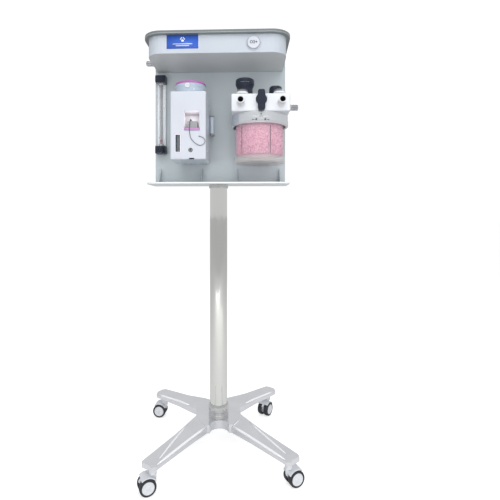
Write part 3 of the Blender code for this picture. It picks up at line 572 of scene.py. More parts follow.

# raised strips on an arm, standing for its crease and its root line, whose near-white colour is a painted highlight, as
# which arm, which side, and stations: distance along it, offset across it and half a width
HIGHLIGHT_RIBS = {
    "arm_highlight_rib_left": (FRONT_ARM, -1, ((0.14, 0.0283, 0.0004), (0.185, 0.0195, 0.0026), (0.2265, 0.0113, 0.0034),
                                     (0.265, 0.0025, 0.0034), (0.3, -0.0065, 0.0028), (0.335, -0.015, 0.0006))),
    "arm_highlight_rib_right": (FRONT_ARM, 1, ((0.138, -0.025, 0.0004), (0.185, -0.0182, 0.0026), (0.2342, -0.0109, 0.0034),
                                     (0.28, -0.004, 0.0034), (0.3177, 0.002, 0.0028), (0.34, 0.0055, 0.0006))),
    "root_highlight_left": (FRONT_ARM, -1, ((0.0913, -0.0018, 0.001), (0.106, -0.033, 0.001))),
    "root_highlight_right": (FRONT_ARM, 1, ((0.1094, -0.0212, 0.001), (0.127, 0.029, 0.001))),
}


# strips whose near-white finish paints the highlights on the base's arms
def make_ribs():
    for name, (arm, side, stations) in HIGHLIGHT_RIBS.items():
        make_rib(name, arm, side, stations)
    # a band on the bevelled edge of each arm that is nearer the front, near white as a painted highlight
    for name, arm in (("front", FRONT_ARM), ("rear", REAR_ARM)):
        for side_name, side in (("left", -1), ("right", 1)):
            widths = arm[1]
            start, end = 0.118 if name == "front" else 0.105, widths[2][0] - 0.008
            stations = []
            for step in range(7):
                distance = start + (end - start) * step / 6
                half_width = float(np.interp(distance, [at for at, _ in widths], [half for _, half in widths]))
                stations.append((distance, side * (half_width - 0.003), 0.0034 if 0 < step < 6 else 0.001))
            make_rib(f"arm_edge_highlight_{name}_{side_name}", arm, side, stations, 0.003, side * math.pi / 4)


def make_rib(name, arm, side, stations, drop=0.0, lean=0.0):
    """A thin raised strip along an arm, drop below its top and leaning to its side, its near-white finish a painted
    highlight.
    """
    tip, _, slope = arm
    along = (Vector((side * tip[0], tip[1])) - ARM_CENTRE).normalized()
    across = Vector((along.y, -along.x))
    turn = Matrix.Rotation(BASE_TURN, 4, "Z")
    bm = bmesh.new()
    sections = []
    for index, (distance, offset, half) in enumerate(stations):
        before, after = stations[max(index - 1, 0)], stations[min(index + 1, len(stations) - 1)]
        run = (along * (after[0] - before[0]) + across * (after[1] - before[1])).normalized()
        beside = Vector((run.y, -run.x))
        centre = ARM_CENTRE + along * distance + across * offset
        top = 0.1044 - slope * max(0.0, distance - 0.085) - drop
        section = []
        for x, z in ((-half, -0.0012), (half, -0.0012), (half, 0.0002), (0.5 * half, 0.0006), (-0.5 * half, 0.0006),
                     (-half, 0.0002)):
            out, up = x * math.cos(lean) + z * math.sin(lean), z * math.cos(lean) - x * math.sin(lean)
            place = centre + beside * out
            section.append(bm.verts.new(turn @ Vector((place.x, place.y, top + up))))
        sections.append(section)
    stitched(bm, sections)
    bm.faces.new(sections[0])
    bm.faces.new(sections[-1])
    place_piece(name, bm, "rib", "stand")


def socket_screw(name, place, out, radius):
    """A round head facing out, with a dark hexagon on it that is painted shade for its socket."""
    turn = facing(out)
    head = [(0.0, 0.0), (radius, 0.0), (radius, 0.0012), (radius * 0.85, 0.0018), (0.0, 0.0018)]
    lathe(name, head, "nickel", location=place, turn=turn, steps=28, edge=0.0002)
    socket = extruded(circle(radius * 0.5, 6), 0.0017, 0.0019)
    place_piece(f"{name}_socket", socket, "hole_shade", location=place, turn=turn)


def make_wheels():
    for name in CASTORS:
        for side, sign in (("left", 1), ("right", -1)):
            body = f"castor_wheel_{name}_{side}"
            facts = joint(f"{body}_roll")
            out = Vector(facts["axis"]) * sign
            place = Vector(facts["pos_m"])
            turn = facing(out)
            tyre = mm((18.5, 0.6), (23.2, 0), (24.6, 1.8), (25, 5), (25, 12.8), (24.4, 15.8), (22.8, 17.4),
                      (19.5, 17.8), (18.5, 17.2))
            lathe(f"tyre_{name}_{side}", tyre, "tyre", body, place, turn, 64, 0.0006,
                  replaces=f"castor_wheel_{name}_{side}")
            hub = mm((3.4, 0.8), (18.4, 0.8), (18.4, 16.6), (17.6, 17.6), (15, 17.6), (14, 16.6), (7, 16.6),
                     (6, 17.6), (3.4, 17.6))
            lathe(f"hub_{name}_{side}", hub, "castor", body, place, turn, 64, 0.0003)
            cap = mm((0, 16.5), (3.3, 16.5), (3.3, 17.6), (2, 18), (0, 18))
            lathe(f"hub_cap_{name}_{side}", cap, "castor", f"castor_{name}", place, turn, 32)


# ---------------------------------------------------------------- tray, panel and shelf


def dress_case():
    dress("shelf", "shelf", 0.0012)
    # the back panel and gussets take the darker copy of the enamel, painted shade
    dress("back_panel", "enamel", 0.0008)
    for number in range(1, 5):
        dress(f"gusset_{number}", "enamel", 0.0004)
    dress("tray_shell", "tray", 0.0022, 3)
    # the underside takes its own copy of the tray's enamel, coloured for the light under the tray
    dress("tray_bottom", "tray_under", 0.0006)
    dress("vaporizer_mount", "cast")
    dress("absorber_bracket", "cast", 0.001)
    dress("flush_valve", "brass")
    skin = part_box("back_panel")[0].y + 0.002
    shelf_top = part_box("shelf")[1].z
    rows = [(x, z) for x in (-0.125, -0.062) for z in (1.02, 1.17)] + [(x, 1.166) for x in (0.09, 0.195)]
    rows += [(-0.212, 1.037), (-0.212, 1.291)]
    for number, (x, z) in enumerate(rows, start=1):
        socket_screw(f"back_screw_{number}", (x, skin, z), (0, 1, 0), 0.0045)
    for number, angle in enumerate((45, 135, 225, 315), start=1):
        at = Vector((math.cos(math.radians(angle)), math.sin(math.radians(angle)), 0.0)) * 0.026
        socket_screw(f"shelf_screw_{number}", at + Vector((0.0, 0.0, shelf_top)), (0, 0, 1), 0.004)


def make_label():
    """A plain blue plate with a paw print and two bars, and no lettering."""
    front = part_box("tray_shell")[0].y + 0.013
    centre = Vector((-0.1083, front, 1.3618))
    border = extruded(round_rectangle(0.053, 0.024, 0.0015, 4), 0.0, 0.0004)
    place_piece("label_border", border, "print_white", "stand", centre, FRONT)
    plate = extruded(round_rectangle(0.0515, 0.0226, 0.001, 4), 0.0004, 0.0006)
    place_piece("label_plate", plate, "print_blue", "stand", centre, FRONT)
    pads = [circle(0.0048, 28, (0.0, 0.004), 0.82)]
    for angle, reach in ((-52, 0.008), (-18, 0.0092), (18, 0.0092), (52, 0.008)):
        at = (reach * math.sin(math.radians(angle)), 0.004 + reach * math.cos(math.radians(angle)))
        pads.append(circle(0.0019, 18, at, 1.3))
    bars = [round_rectangle(0.032, 0.0011, 0.001, 4, (0.0, -0.0068)),
            round_rectangle(0.022, 0.0011, 0.001, 4, (0.0, -0.0125))]
    print_parts = joined([extruded(outline, 0.0006, 0.0007) for outline in pads + bars])
    place_piece("label_print", print_parts, "print_white", "stand", centre, FRONT)


def lettering(name, words, size, material, body, place, turn, bold=0.0):
    """Generic marks as thin solid text, made into a mesh."""
    data = bpy.data.curves.new(name, "FONT")
    data.body = words
    data.size = size
    data.align_x = "CENTER"
    data.align_y = "CENTER"
    data.extrude = 0.0001
    data.offset = bold
    data.resolution_u = 3
    source = bpy.data.objects.new(name, data)
    bpy.context.scene.collection.objects.link(source)
    bpy.context.view_layer.update()
    mesh = bpy.data.meshes.new_from_object(source.evaluated_get(bpy.context.evaluated_depsgraph_get()))
    bpy.data.objects.remove(source)
    mesh.materials.clear()
    mesh.materials.append(FINISHES[material])
    piece = bpy.data.objects.new(name, mesh)
    bpy.context.scene.collection.objects.link(piece)
    piece.location = place
    piece.rotation_euler = turn
    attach(piece, body)
    return piece


def make_flush():
    low, middle, high = box("flush_button")
    bezel_low, bezel_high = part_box("flush_bezel")
    centre_x, centre_z = middle.x, middle.z
    radius, outer = (high.x - low.x) / 2, (bezel_high.x - bezel_low.x) / 2
    wall = bezel_high.y
    place = (centre_x, wall, centre_z)
    bezel = [(radius + 0.0007, 0.0), (outer, 0.0), (outer, 0.0018), (outer - 0.0006, 0.0026), (outer - 0.0014, 0.0029),
             (radius + 0.0007, 0.0025)]
    lathe("flush_ring", bezel, "vaporizer", "stand", place, FRONT, 80, 0.0002,
          replaces="flush_bezel")
    front = wall - low.y
    button = [(0.0, -0.006), (radius, -0.006), (radius, front - 0.0016), (radius - 0.0008, front - 0.0008),
              (radius - 0.003, front - 0.0006), (radius - 0.006, front - 0.0012), (0.0, front - 0.0014)]
    lathe("flush_cap", button, "vaporizer", "flush_button", place, FRONT, 80, 0.0003,
          replaces="flush_button")
    line = [(radius - 0.002, front - 0.0009), (radius - 0.0004, front - 0.0013), (radius - 0.0004, front - 0.0004),
            (radius - 0.002, front - 0.0004)]
    lathe("flush_line", line, "faint", "flush_button", place, FRONT, 80, 0.0)
    lettering("flush_mark", "O2+", 0.013, "mark", "flush_button",
              (centre_x, low.y + 0.0012, centre_z + 0.0005), FRONT, 0.0004)


def make_inlet():
    _, middle, high = box("gas_inlet")
    place = (high.x, middle.y, middle.z)
    inlet = mm((0, 0), (12.5, 0), (12.5, 4.5), (11.8, 5.2), (7.5, 5.6), (7.5, 8.5), (9.8, 9.2), (9.8, 15),
               (8.8, 15.5), (8.8, 17), (9.8, 17.5), (9.8, 30), (8, 34), (4, 35.5), (4, 25), (0, 25))
    lathe("gas_inlet_fitting", inlet, "satin", "stand", place, LEFT, 56, replaces="gas_inlet")


# ---------------------------------------------------------------- flowmeter


def make_flowmeter():
    """The head and base blocks, the glass tube, its clear guard, and what is behind and inside them."""
    base_low, base_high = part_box("flowmeter_base")
    head_low, head_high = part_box("flowmeter_head")
    guard_low, guard_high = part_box("flowmeter_guard")
    tube_low, tube_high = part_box("flowmeter_tube")
    centre_x = (base_low.x + base_high.x) / 2
    tube_y = (tube_low.y + tube_high.y) / 2
    block("flowmeter_head_block", head_low, head_high, "black", "stand", 0.0035, 4,
          replaces="flowmeter_head")
    block_top = guard_low.z - 0.0003
    block("flowmeter_base_block", base_low, (base_high.x, base_high.y, block_top), "black", "stand",
                  0.0035, 4, replaces="flowmeter_base")
    seat = [(0.0, block_top - 0.001), (0.0038, block_top - 0.001), (0.0038, base_high.z), (0.0, base_high.z)]
    lathe("float_seat", seat, "nickel", "stand", (centre_x, tube_y, 0.0), steps=32)
    for end, z in (("low", guard_low.z + 0.004), ("high", guard_high.z - 0.004)):
        ring = mm((7.2, -4), (9.8, -4), (9.8, 4), (7.2, 4))
        lathe(f"tube_gland_{end}", ring, "nickel", "stand", (centre_x, tube_y, z), steps=48)

    glass = [(0.0052, tube_low.z), (0.007, tube_low.z), (0.007, tube_high.z), (0.0052, tube_high.z)]
    lathe("flow_tube_glass", glass, "clear", "stand", (centre_x, tube_y, 0.0), steps=48,
          edge=0.0, replaces="flowmeter_tube")
    place_piece("flow_guard_clear", guard_shell(guard_low, guard_high), "clear", "stand",
                replaces="flowmeter_guard")

    strip_y = tube_y + 0.0102
    block("flow_back_strip", (centre_x - 0.015, strip_y, guard_low.z + 0.001),
          (centre_x + 0.015, strip_y + 0.0012, guard_high.z - 0.001), "scale", "stand", 0.0002, 1)
    make_flow_scale(centre_x, tube_y, strip_y)
    make_float(centre_x, tube_y)
    make_flow_knob()


def guard_shell(low, high):
    """The clear guard: a rounded sleeve, open at both ends."""
    half_x, half_y = (high.x - low.x) / 2, (high.y - low.y) / 2
    centre = ((low.x + high.x) / 2, (low.y + high.y) / 2)
    outer = round_rectangle(half_x, half_y, 0.01, 10, centre)
    inner = round_rectangle(half_x - 0.002, half_y - 0.002, 0.008, 10, centre)
    bm = bmesh.new()
    rings = [[bm.verts.new((x, y, z)) for x, y in outline]
             for outline, z in ((outer, low.z), (outer, high.z), (inner, high.z), (inner, low.z))]
    stitched(bm, rings + rings[:1])
    return bm


def make_flow_scale(centre_x, tube_y, strip_y):
    """Graduations on the glass and numbers on the strip behind it."""
    ticks = []
    first, last, count = 1.086, 1.266, 26
    for number in range(count):
        z = first + (last - first) * number / (count - 1)
        half = 0.0034 if number % 5 == 0 else 0.002
        ticks.append(cuboid((centre_x - half, tube_y - 0.0073, z - 0.0003),
                            (centre_x + half, tube_y - 0.0067, z + 0.0003)))
    place_piece("flow_scale_ticks", joined(ticks), "mark", "stand")
    for step in range(6):
        z = first + (last - first) * step * 5 / (count - 1)
        lettering(f"flow_number_{step}", str(step), 0.0055, "mark", "stand",
                  (centre_x + 0.0085 * (1 if step % 2 else -1), strip_y - 0.0001, z), FRONT)


def make_float(centre_x, tube_y):
    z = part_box("flow_float")[0].z
    bobbin = mm((0, 0), (2.6, 0), (3, 1), (3.4, 9.5), (4.4, 11.2), (4.4, 15.5), (3.4, 16.5), (0, 16.5))
    lathe("float_bobbin", bobbin, "float", "flow_float", (centre_x, tube_y, z), steps=40,
                  edge=0.0002, replaces="flow_float")


def make_flow_knob():
    low, middle, high = box("flow_knob")
    place = (middle.x, high.y, middle.z)
    depth = high.y - low.y
    radius = (high.x - low.x) / 2
    profile = [(0.006, 0.0, 0), (0.006, 0.0035, 0), (radius - 0.002, 0.005, 0), (radius - 0.0003, 0.0072, 0.6),
               (radius, 0.0095, 1), (radius, depth - 0.004, 1), (radius - 0.0005, depth - 0.002, 0.7),
               (radius - 0.0024, depth - 0.0004, 0), (0.007, depth, 0)]
    place_piece("flow_knob_fluted", fluted(profile, 16, 0.001), "black", "flow_knob",
                        place, FRONT, replaces="flow_knob")
    cap = [(0.0046, depth - 0.0004), (0.0052, depth - 0.0004), (0.0052, depth), (0.0046, depth)]
    lathe("flow_knob_line", cap, "plug", "flow_knob", place, FRONT, 48, 0.0)


# ---------------------------------------------------------------- vaporizer

VAPORIZER_X = -0.0935

# the tether's route, from the filler plug's boss to its eye in the body, from the vaporizer's middle
TETHER_ROUTE = mm((7.8, -88.5, 1119), (6.8, -93.5, 1117), (5.4, -95.5, 1102), (5.3, -102.5, 1090),
                  (5.3, -103, 1078.8), (6.3, -101, 1070), (8.3, -100, 1059.2), (11.5, -99.8, 1052),
                  (20.7, -99.8, 1041.6), (29.2, -99.8, 1035.4), (37.3, -99.8, 1031.8), (45.8, -99.8, 1032.4),
                  (53, -99.8, 1037.4), (56.2, -99.8, 1044.6), (53.8, -99.8, 1052.5), (47.8, -99.8, 1057.8),
                  (41, -100, 1060), (36.5, -99.2, 1061.7))
TETHER_RADIUS = 0.0009
TETHER_STEP = 0.004


def smooth_route(points, step):
    """Points at a steady spacing along a Catmull-Rom curve through the route's own points."""
    anchors = [Vector(point) for point in points]
    anchors = [2 * anchors[0] - anchors[1], *anchors, 2 * anchors[-1] - anchors[-2]]
    fine = []
    for before, start, end, after in zip(anchors, anchors[1:], anchors[2:], anchors[3:]):
        for part in range(12):
            t = part / 12
            fine.append(0.5 * (2 * start + (end - before) * t + (2 * before - 5 * start + 4 * end - after) * t * t
                               + (3 * start - before - 3 * end + after) * t ** 3))
    fine.append(anchors[-2])
    length = sum((b - a).length for a, b in zip(fine, fine[1:]))
    count = round(length / step)
    spaced, travelled, wanted = [fine[0]], 0.0, length / count
    for a, b in zip(fine, fine[1:]):
        piece = (b - a).length
        while travelled + piece >= wanted and len(spaced) < count:
            spaced.append(a.lerp(b, (wanted - travelled) / piece))
            wanted += length / count
        travelled += piece
    return [*spaced, fine[-1]]


def make_tether():
    curve = bpy.data.curves.new("filler_tether", "CURVE")
    curve.dimensions = "3D"
    curve.bevel_depth = TETHER_RADIUS
    curve.bevel_resolution = 4
    curve.use_fill_caps = True
    curve.resolution_u = 1
    curve.materials.append(FINISHES["cord"])
    points = [place + Vector((VAPORIZER_X, 0.0, 0.0)) for place in smooth_route(TETHER_ROUTE, TETHER_STEP)]
    spline = curve.splines.new("POLY")
    spline.points.add(len(points) - 1)
    for point, place in zip(spline.points, points):
        point.co = (*place, 1.0)
    tether = bpy.data.objects.new("filler_tether", curve)
    bpy.context.scene.collection.objects.link(tether)
    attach(tether, "stand")
    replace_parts(tether, "tether_cord")
    eye = mm((1, 0), (2.4, 0), (2.4, 0.6), (2, 1), (1, 1))
    lathe("tether_eye", eye, "nickel", "stand", (points[-1].x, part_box("vaporizer_body")[0].y, points[-1].z),
          FRONT, 32, 0.0001)


def make_vaporizer():
    dress("vaporizer_body", "vaporizer", 0.0008)
    low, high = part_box("vaporizer_body")
    make_filler()
    make_sight_glass()
    make_drain(low)
    make_dial()
    make_tether()
    # the front cover's four screws, two at each side
    for side, x in ((-1, low.x), (1, high.x)):
        for number, z in enumerate((low.z + 0.03, high.z - 0.03), start=1):
            socket_screw(f"cover_screw_{'left' if side < 0 else 'right'}_{number}", (x, -0.045, z), (side, 0, 0),
                         0.0032)


def make_filler():
    lip_low, lip_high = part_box("filler_lip")
    plug_low, plug_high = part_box("filler_plug")
    centre = (lip_low.x + lip_high.x) / 2
    back, front = plug_high.y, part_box("vaporizer_body")[0].y
    floor, slope, roof = lip_high.z, 0.4286, 1.135
    half, wall = 0.0253, 0.0008

    def roof_at(y):
        return roof + slope * (-0.073 - y) - 0.0003

    # the liner: two side walls and a back, their tops following the sloping roof
    outline = [(-half, front), (-half, back), (half, back), (half, front), (half - wall, front),
               (half - wall, back - wall), (-half + wall, back - wall), (-half + wall, front)]
    liner = extruded([(centre + x, y) for x, y in outline], floor, 1.2)
    for vert in liner.verts:
        if vert.co.z > 1.19:
            vert.co.z = roof_at(vert.co.y)
    place_piece("filler_liner", liner, "recess")
    # the roof faces down into shade and takes the lighter recess finish instead of the body's: painted light
    ceiling = bmesh.new()
    corners = []
    for y in (front, back - wall):
        for x in (-half + wall, half - wall):
            corners.append((centre + x, y))
    vertices = [ceiling.verts.new((x, y, roof_at(y) - thick)) for thick in (0.0, 0.0008) for x, y in corners]
    for face in ((0, 1, 3, 2), (4, 6, 7, 5), (0, 4, 5, 1), (2, 3, 7, 6), (0, 2, 6, 4), (1, 5, 7, 3)):
        ceiling.faces.new([vertices[index] for index in face])
    place_piece("filler_ceiling_painted_light", ceiling, "recess")

    outline = [(lip_low.x + x, y) for x, y in ((0.0, lip_high.y), (0.0, lip_low.y + 0.002), (0.004, lip_low.y))]
    outline += [(lip_high.x + x, y) for x, y in ((-0.004, lip_low.y), (0.0, lip_low.y + 0.002), (0.0, lip_high.y))]
    piece = soften(place_piece("filler_lip_purple", extruded(outline, lip_low.z, lip_high.z), "lip", "stand"), 0.0012, 3)
    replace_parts(piece, "filler_lip")
    body_top = plug_high.z - 0.0047
    block("filler_plug_body", plug_low, (plug_high.x, plug_high.y, body_top), "plug", "stand",
                 0.0014, 3, replaces="filler_plug")
    for number in range(5):
        x = plug_low.x + 0.0055 + 0.0055 * number
        block(f"plug_rib_{number + 1}", (x - 0.0006, plug_low.y - 0.0006, plug_low.z + 0.003),
              (x + 0.0006, plug_low.y + 0.001, body_top - 0.003), "plug", "stand", 0.0003, 1)
    boss = [(0.0, body_top - 0.001), (0.0036, body_top - 0.001), (0.0036, body_top + 0.0012),
            (0.003, body_top + 0.0018), (0.003, plug_high.z), (0.0, plug_high.z)]
    lathe("filler_plug_pin", boss, "mark", "stand", (VAPORIZER_X + 0.0078, -0.087, 0.0), steps=32,
          edge=0.0002)


def make_sight_glass():
    """The dark glass in its frame, with a paler strip and marks."""
    low, middle, high = box("sight_glass")
    block("sight_glass_dark", low, high, "dark_glass", "stand", 0.0008, 3, replaces="sight_glass")
    centre = middle.x
    front = low.y
    outer = round_rectangle(0.0092, 0.03, 0.0012, 4, (centre, middle.z))
    inner = round_rectangle(0.0074, 0.028, 0.0008, 4, (centre, middle.z))
    bm = bmesh.new()
    rings = [[bm.verts.new((x, y, z)) for x, z in outline]
             for outline, y in ((outer, front + 0.001), (outer, front - 0.0004), (inner, front - 0.0004),
                                (inner, front + 0.001))]
    stitched(bm, rings + rings[:1])
    place_piece("sight_glass_frame", bm, "recess")
    strip = cuboid((centre - 0.001, front - 0.0001, low.z + 0.003), (centre + 0.0038, front + 0.0004, high.z - 0.003))
    place_piece("sight_glass_column", strip, "level")
    marks = [cuboid((centre - 0.0058, front - 0.0002, z - 0.0002), (centre - 0.0034, front + 0.0004, z + 0.0002))
             for z in (low.z + 0.01, low.z + 0.02, low.z + 0.03, low.z + 0.04, low.z + 0.05)]
    place_piece("sight_glass_marks", joined(marks), "faint")


def make_drain(body_low):
    middle = box("drain_screw")[1]
    place = (middle.x, body_low.y, middle.z)
    screw = mm((0, -2.7), (5.2, -2.7), (5.2, 0.4), (4.6, 1.2), (3, 1.3), (3, -0.6), (0, -0.6))
    lathe("drain_screw_head", screw, "nickel", "drain_screw", place, FRONT, 48, 0.0002,
          replaces="drain_screw")
    # painted shade: black at the bottom of the socket, in the gap round the screw's head and at the back of the notch
    hexagon = extruded(circle(0.0028, 6), -0.0008, -0.0003)
    place_piece("drain_screw_socket_shade", hexagon, "hole_shade", "drain_screw", place, FRONT)
    ring = mm((5.6, -2.4), (7, -2.4), (7, -1), (5.6, -1))
    lathe("drain_gap_shade", ring, "hole_shade", "stand", place, FRONT, 48, 0.0)
    notch = round_rectangle(0.0078, 0.0018, 0.001, 4)
    place_piece("drain_notch_shade", extruded(notch, -0.007, -0.0064), "hole_shade", "stand",
                (VAPORIZER_X + 0.0115, body_low.y, 0.9893), FRONT)


def make_dial():
    low, middle, high = box("vaporizer_dial")
    ring_low, ring_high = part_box("dial_ring")
    centre = (middle.x, middle.y, 0.0)
    radius = (high.x - low.x) / 2
    shoulder = ring_low.z - 0.0003
    # the CAD dial keeps the lock button's pocket, so it stays and gets its colour
    dress("vaporizer_dial", "dial")
    ring = [(0.044, ring_low.z), (0.0516, ring_low.z), (0.052, ring_low.z + 0.0012), (0.0518, ring_high.z - 0.0012),
            (0.0505, ring_high.z), (0.044, ring_high.z)]
    lathe("dial_ring_purple", ring, "purple", "vaporizer_dial", centre, None, 96,
                  0.0005, replaces="dial_ring")
    grips = []
    for number in range(60):
        angle = 2 * math.pi * number / 60
        if abs(math.remainder(angle - lock_angle(), 2 * math.pi)) < 0.24:
            continue
        grip = cuboid((radius - 0.0008, -0.0007, low.z + 0.02), (radius + 0.0005, 0.0007, shoulder - 0.0025))
        grips.append(moved(grip, Matrix.Translation(centre) @ Matrix.Rotation(angle, 4, "Z")))
    place_piece("dial_grips", joined(grips), "dial", "vaporizer_dial")
    for step in range(6):
        angle = lock_angle() + math.radians(24 + 36 * step)
        out = Vector((math.cos(angle), math.sin(angle), 0.0))
        place = Vector(centre) + out * (radius + 0.0001) + Vector((0, 0, low.z + 0.011))
        turn = facing(out)
        lettering(f"dial_number_{step}", str(step), 0.0085, "print_white", "vaporizer_dial", place, turn)
    make_lock_button()
    # the pointer that the dial is read against, standing on the body's top in front of the dial
    body_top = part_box("vaporizer_body")[1].z
    pointer = extruded([(-0.003, body_top - 0.0008), (0.003, body_top - 0.0008), (0.0, body_top + 0.0055)], 0.0, 0.0012)
    place_piece("dial_pointer", pointer, "print_white", "stand", (centre[0], low.y - 0.0012, 0.0), FRONT)


def lock_angle():
    """The lock button's direction from the dial's middle, as an angle from +X."""
    inward = joint("dial_lock_press")["axis"]
    return math.atan2(-inward[1], -inward[0])


def make_lock_button():
    middle = box("vaporizer_dial")[1]
    button_low, button_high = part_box("dial_lock_button")
    radius = (button_high.z - button_low.z) / 2
    inward = Vector(joint("dial_lock_press")["axis"])
    place = Vector((middle.x, middle.y, (button_low.z + button_high.z) / 2))
    turn = facing(-inward)
    button = [(0.0, 0.044), (radius, 0.044), (radius, 0.0532), (radius - 0.0006, 0.0539), (radius - 0.002, 0.054),
              (radius - 0.0028, 0.0533), (0.0, 0.053)]
    lathe("lock_button_cap", button, "white", "dial_lock_button", place, turn, 48,
                  0.0002, replaces="dial_lock_button")
    ring = mm((2.6, 52.8), (3.6, 52.8), (3.6, 53.4), (2.6, 53.4))
    lathe("lock_button_mark", ring, "faint", "dial_lock_button", place, turn, 32, 0.0)


def make_gas_outlet():
    low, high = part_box("gas_outlet")
    place = ((low.x + high.x) / 2, low.y + (high.x - low.x) / 2, 0.0)
    wall = high.y
    sleeve = [(0.0, low.z + 0.008), (0.0086, low.z + 0.008), (0.009, low.z + 0.01), (0.009, high.z - 0.007),
              (0.0086, high.z - 0.0055), (0.0, high.z - 0.0055)]
    lathe("outlet_sleeve", sleeve, "anodised", "stand", place, steps=56, replaces="gas_outlet")
    for name, bottom, top in (("low", low.z, low.z + 0.0078), ("high", high.z - 0.0054, high.z)):
        cap = [(0.0, bottom), (0.0078, bottom), (0.0094, bottom + 0.0018), (0.0094, top - 0.0016), (0.008, top),
               (0.0, top)]
        lathe(f"outlet_cap_{name}", cap, "plug", "stand", place, steps=56)
    stub = [(0.0, 0.0), (0.0045, 0.0), (0.0045, wall - place[1]), (0.0, wall - place[1])]
    lathe("outlet_stub", stub, "nickel", "stand", (place[0], place[1], 1.14), BACK, 32)
    flange = mm((0, 0), (8.5, 0), (8.5, 2.2), (0, 2.2))
    lathe("outlet_flange", flange, "nickel", "stand", (place[0], wall - 0.0024, 1.14), BACK, 6)


# ---------------------------------------------------------------- absorber


def make_absorber():
    dress("absorber_head", "white", 0.0008)
    for side in ("left", "right"):
        make_port(side)
        make_dome(side)
    make_knobs()
    make_lever()
    make_spigot()
    make_lock_ring()
    make_canister()


def make_port(side):
    low, middle, high = box(f"breathing_port_{side}")
    place = (middle.x, high.y, middle.z)
    length = high.y - low.y
    port = [(0.0088, 0.0), (0.0135, 0.0), (0.0135, 0.004), (0.0125, 0.0052), (0.0114, 0.006), (0.0112, 0.012),
            (0.0109, length - 0.004), (0.0113, length - 0.0032), (0.0113, length - 0.0008), (0.0109, length),
            (0.0092, length), (0.0088, length - 0.0006)]
    lathe(f"port_{side}", port, "port", "stand", place, FRONT, 72, 0.0002,
          replaces=f"breathing_port_{side}")
    # a black lining and floor inside the port's bore, painted shade for its dark inside
    throat = [(0.0, 0.0002), (0.0086, 0.0002), (0.0086, length - 0.004), (0.0083, length - 0.004), (0.0083, 0.001),
              (0.0, 0.001)]
    lathe(f"port_throat_shade_{side}", throat, "hole_shade", "stand", place, FRONT, 56, 0.0)


def make_dome(side):
    low, middle, _ = box(f"valve_dome_{side}")
    place = (middle.x, middle.y, low.z)
    shell = mm((0, 15.5), (6, 15.3), (11, 14.6), (15, 13), (17, 10.8), (17.5, 8.5), (17.5, 0), (19, 0), (19, 9.5),
               (18, 13), (15.8, 15.3), (11.5, 16.8), (6, 17.6), (0, 17.8))
    lathe(f"dome_{side}", shell, "clear", "stand", place, steps=64, edge=0.0,
          replaces=f"valve_dome_{side}")
    collar = mm((19.1, 0), (19.8, 0), (19.8, 6.2), (19.5, 6.8), (19.1, 6.8))
    lathe(f"dome_collar_{side}", collar, "white", "stand", place, steps=72,
          edge=0.0)
    disc_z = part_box(f"valve_disc_{side}")[0].z
    disc = mm((0, 0), (14.6, 0), (15, 0.4), (15, 0.9), (14.2, 1.2), (0, 1.2))
    lathe(f"disc_{side}", disc, "disc", f"valve_disc_{side}",
                  (place[0], place[1], disc_z), steps=56, edge=0.0, replaces=f"valve_disc_{side}")


def make_knobs():
    low, middle, high = box("pressure_knob")
    place = (middle.x, middle.y, low.z)
    top = high.z - low.z
    profile = [(0.024, 0.0, 0), (0.0262, 0.0006, 0), (0.0272, 0.002, 0.6), (0.0272, 0.006, 1), (0.0264, 0.02, 1),
               (0.0262, 0.031, 1), (0.0268, 0.037, 0.7), (0.0288, 0.042, 0.3), (0.0308, 0.0452, 0)]
    cap = [(0.0315, 0.0475, 0), (0.0318, 0.05, 0), (0.0317, top - 0.009, 0), (0.0312, top - 0.0055, 0),
           (0.03, top - 0.0026, 0), (0.0278, top - 0.001, 0), (0.0235, top - 0.0004, 0), (0.012, top, 0)]
    place_piece("pressure_knob_grip", fluted(profile + cap, 20, 0.0014), "black", "pressure_knob",
                        place, replaces="pressure_knob")
    # an arc of plain marks round the cap's front, where a setting scale is
    marks = []
    for number in range(-3, 4):
        angle = -math.pi / 2 + math.radians(8 * number)
        mark = cuboid((0.0312, -0.0012, 0.051), (0.0319, 0.0012, 0.0528))
        marks.append(moved(mark, Matrix.Rotation(angle, 4, "Z")))
    place_piece("pressure_knob_marks", joined(marks), "satin", "pressure_knob", place)

    low, middle, high = box("vent_knob")
    place = (middle.x, middle.y, low.z)
    top = high.z - low.z
    profile = [(0.0195, 0.0, 0), (0.0212, 0.0005, 0), (0.022, 0.0018, 0.6), (0.022, 0.028, 1), (0.0217, 0.0325, 0.9),
               (0.0208, 0.0375, 0.5), (0.0182, top - 0.0022, 0.1), (0.012, top - 0.0008, 0), (0.006, top, 0)]
    place_piece("vent_knob_grip", fluted(profile, 18, 0.0012), "black", "vent_knob", place,
                replaces="vent_knob")
    block("vent_knob_line", (place[0] - 0.0007, place[1] - 0.0165, high.z - 0.0024),
          (place[0] + 0.0007, place[1] - 0.005, high.z - 0.0002), "print_white", "vent_knob", 0.0001, 1)


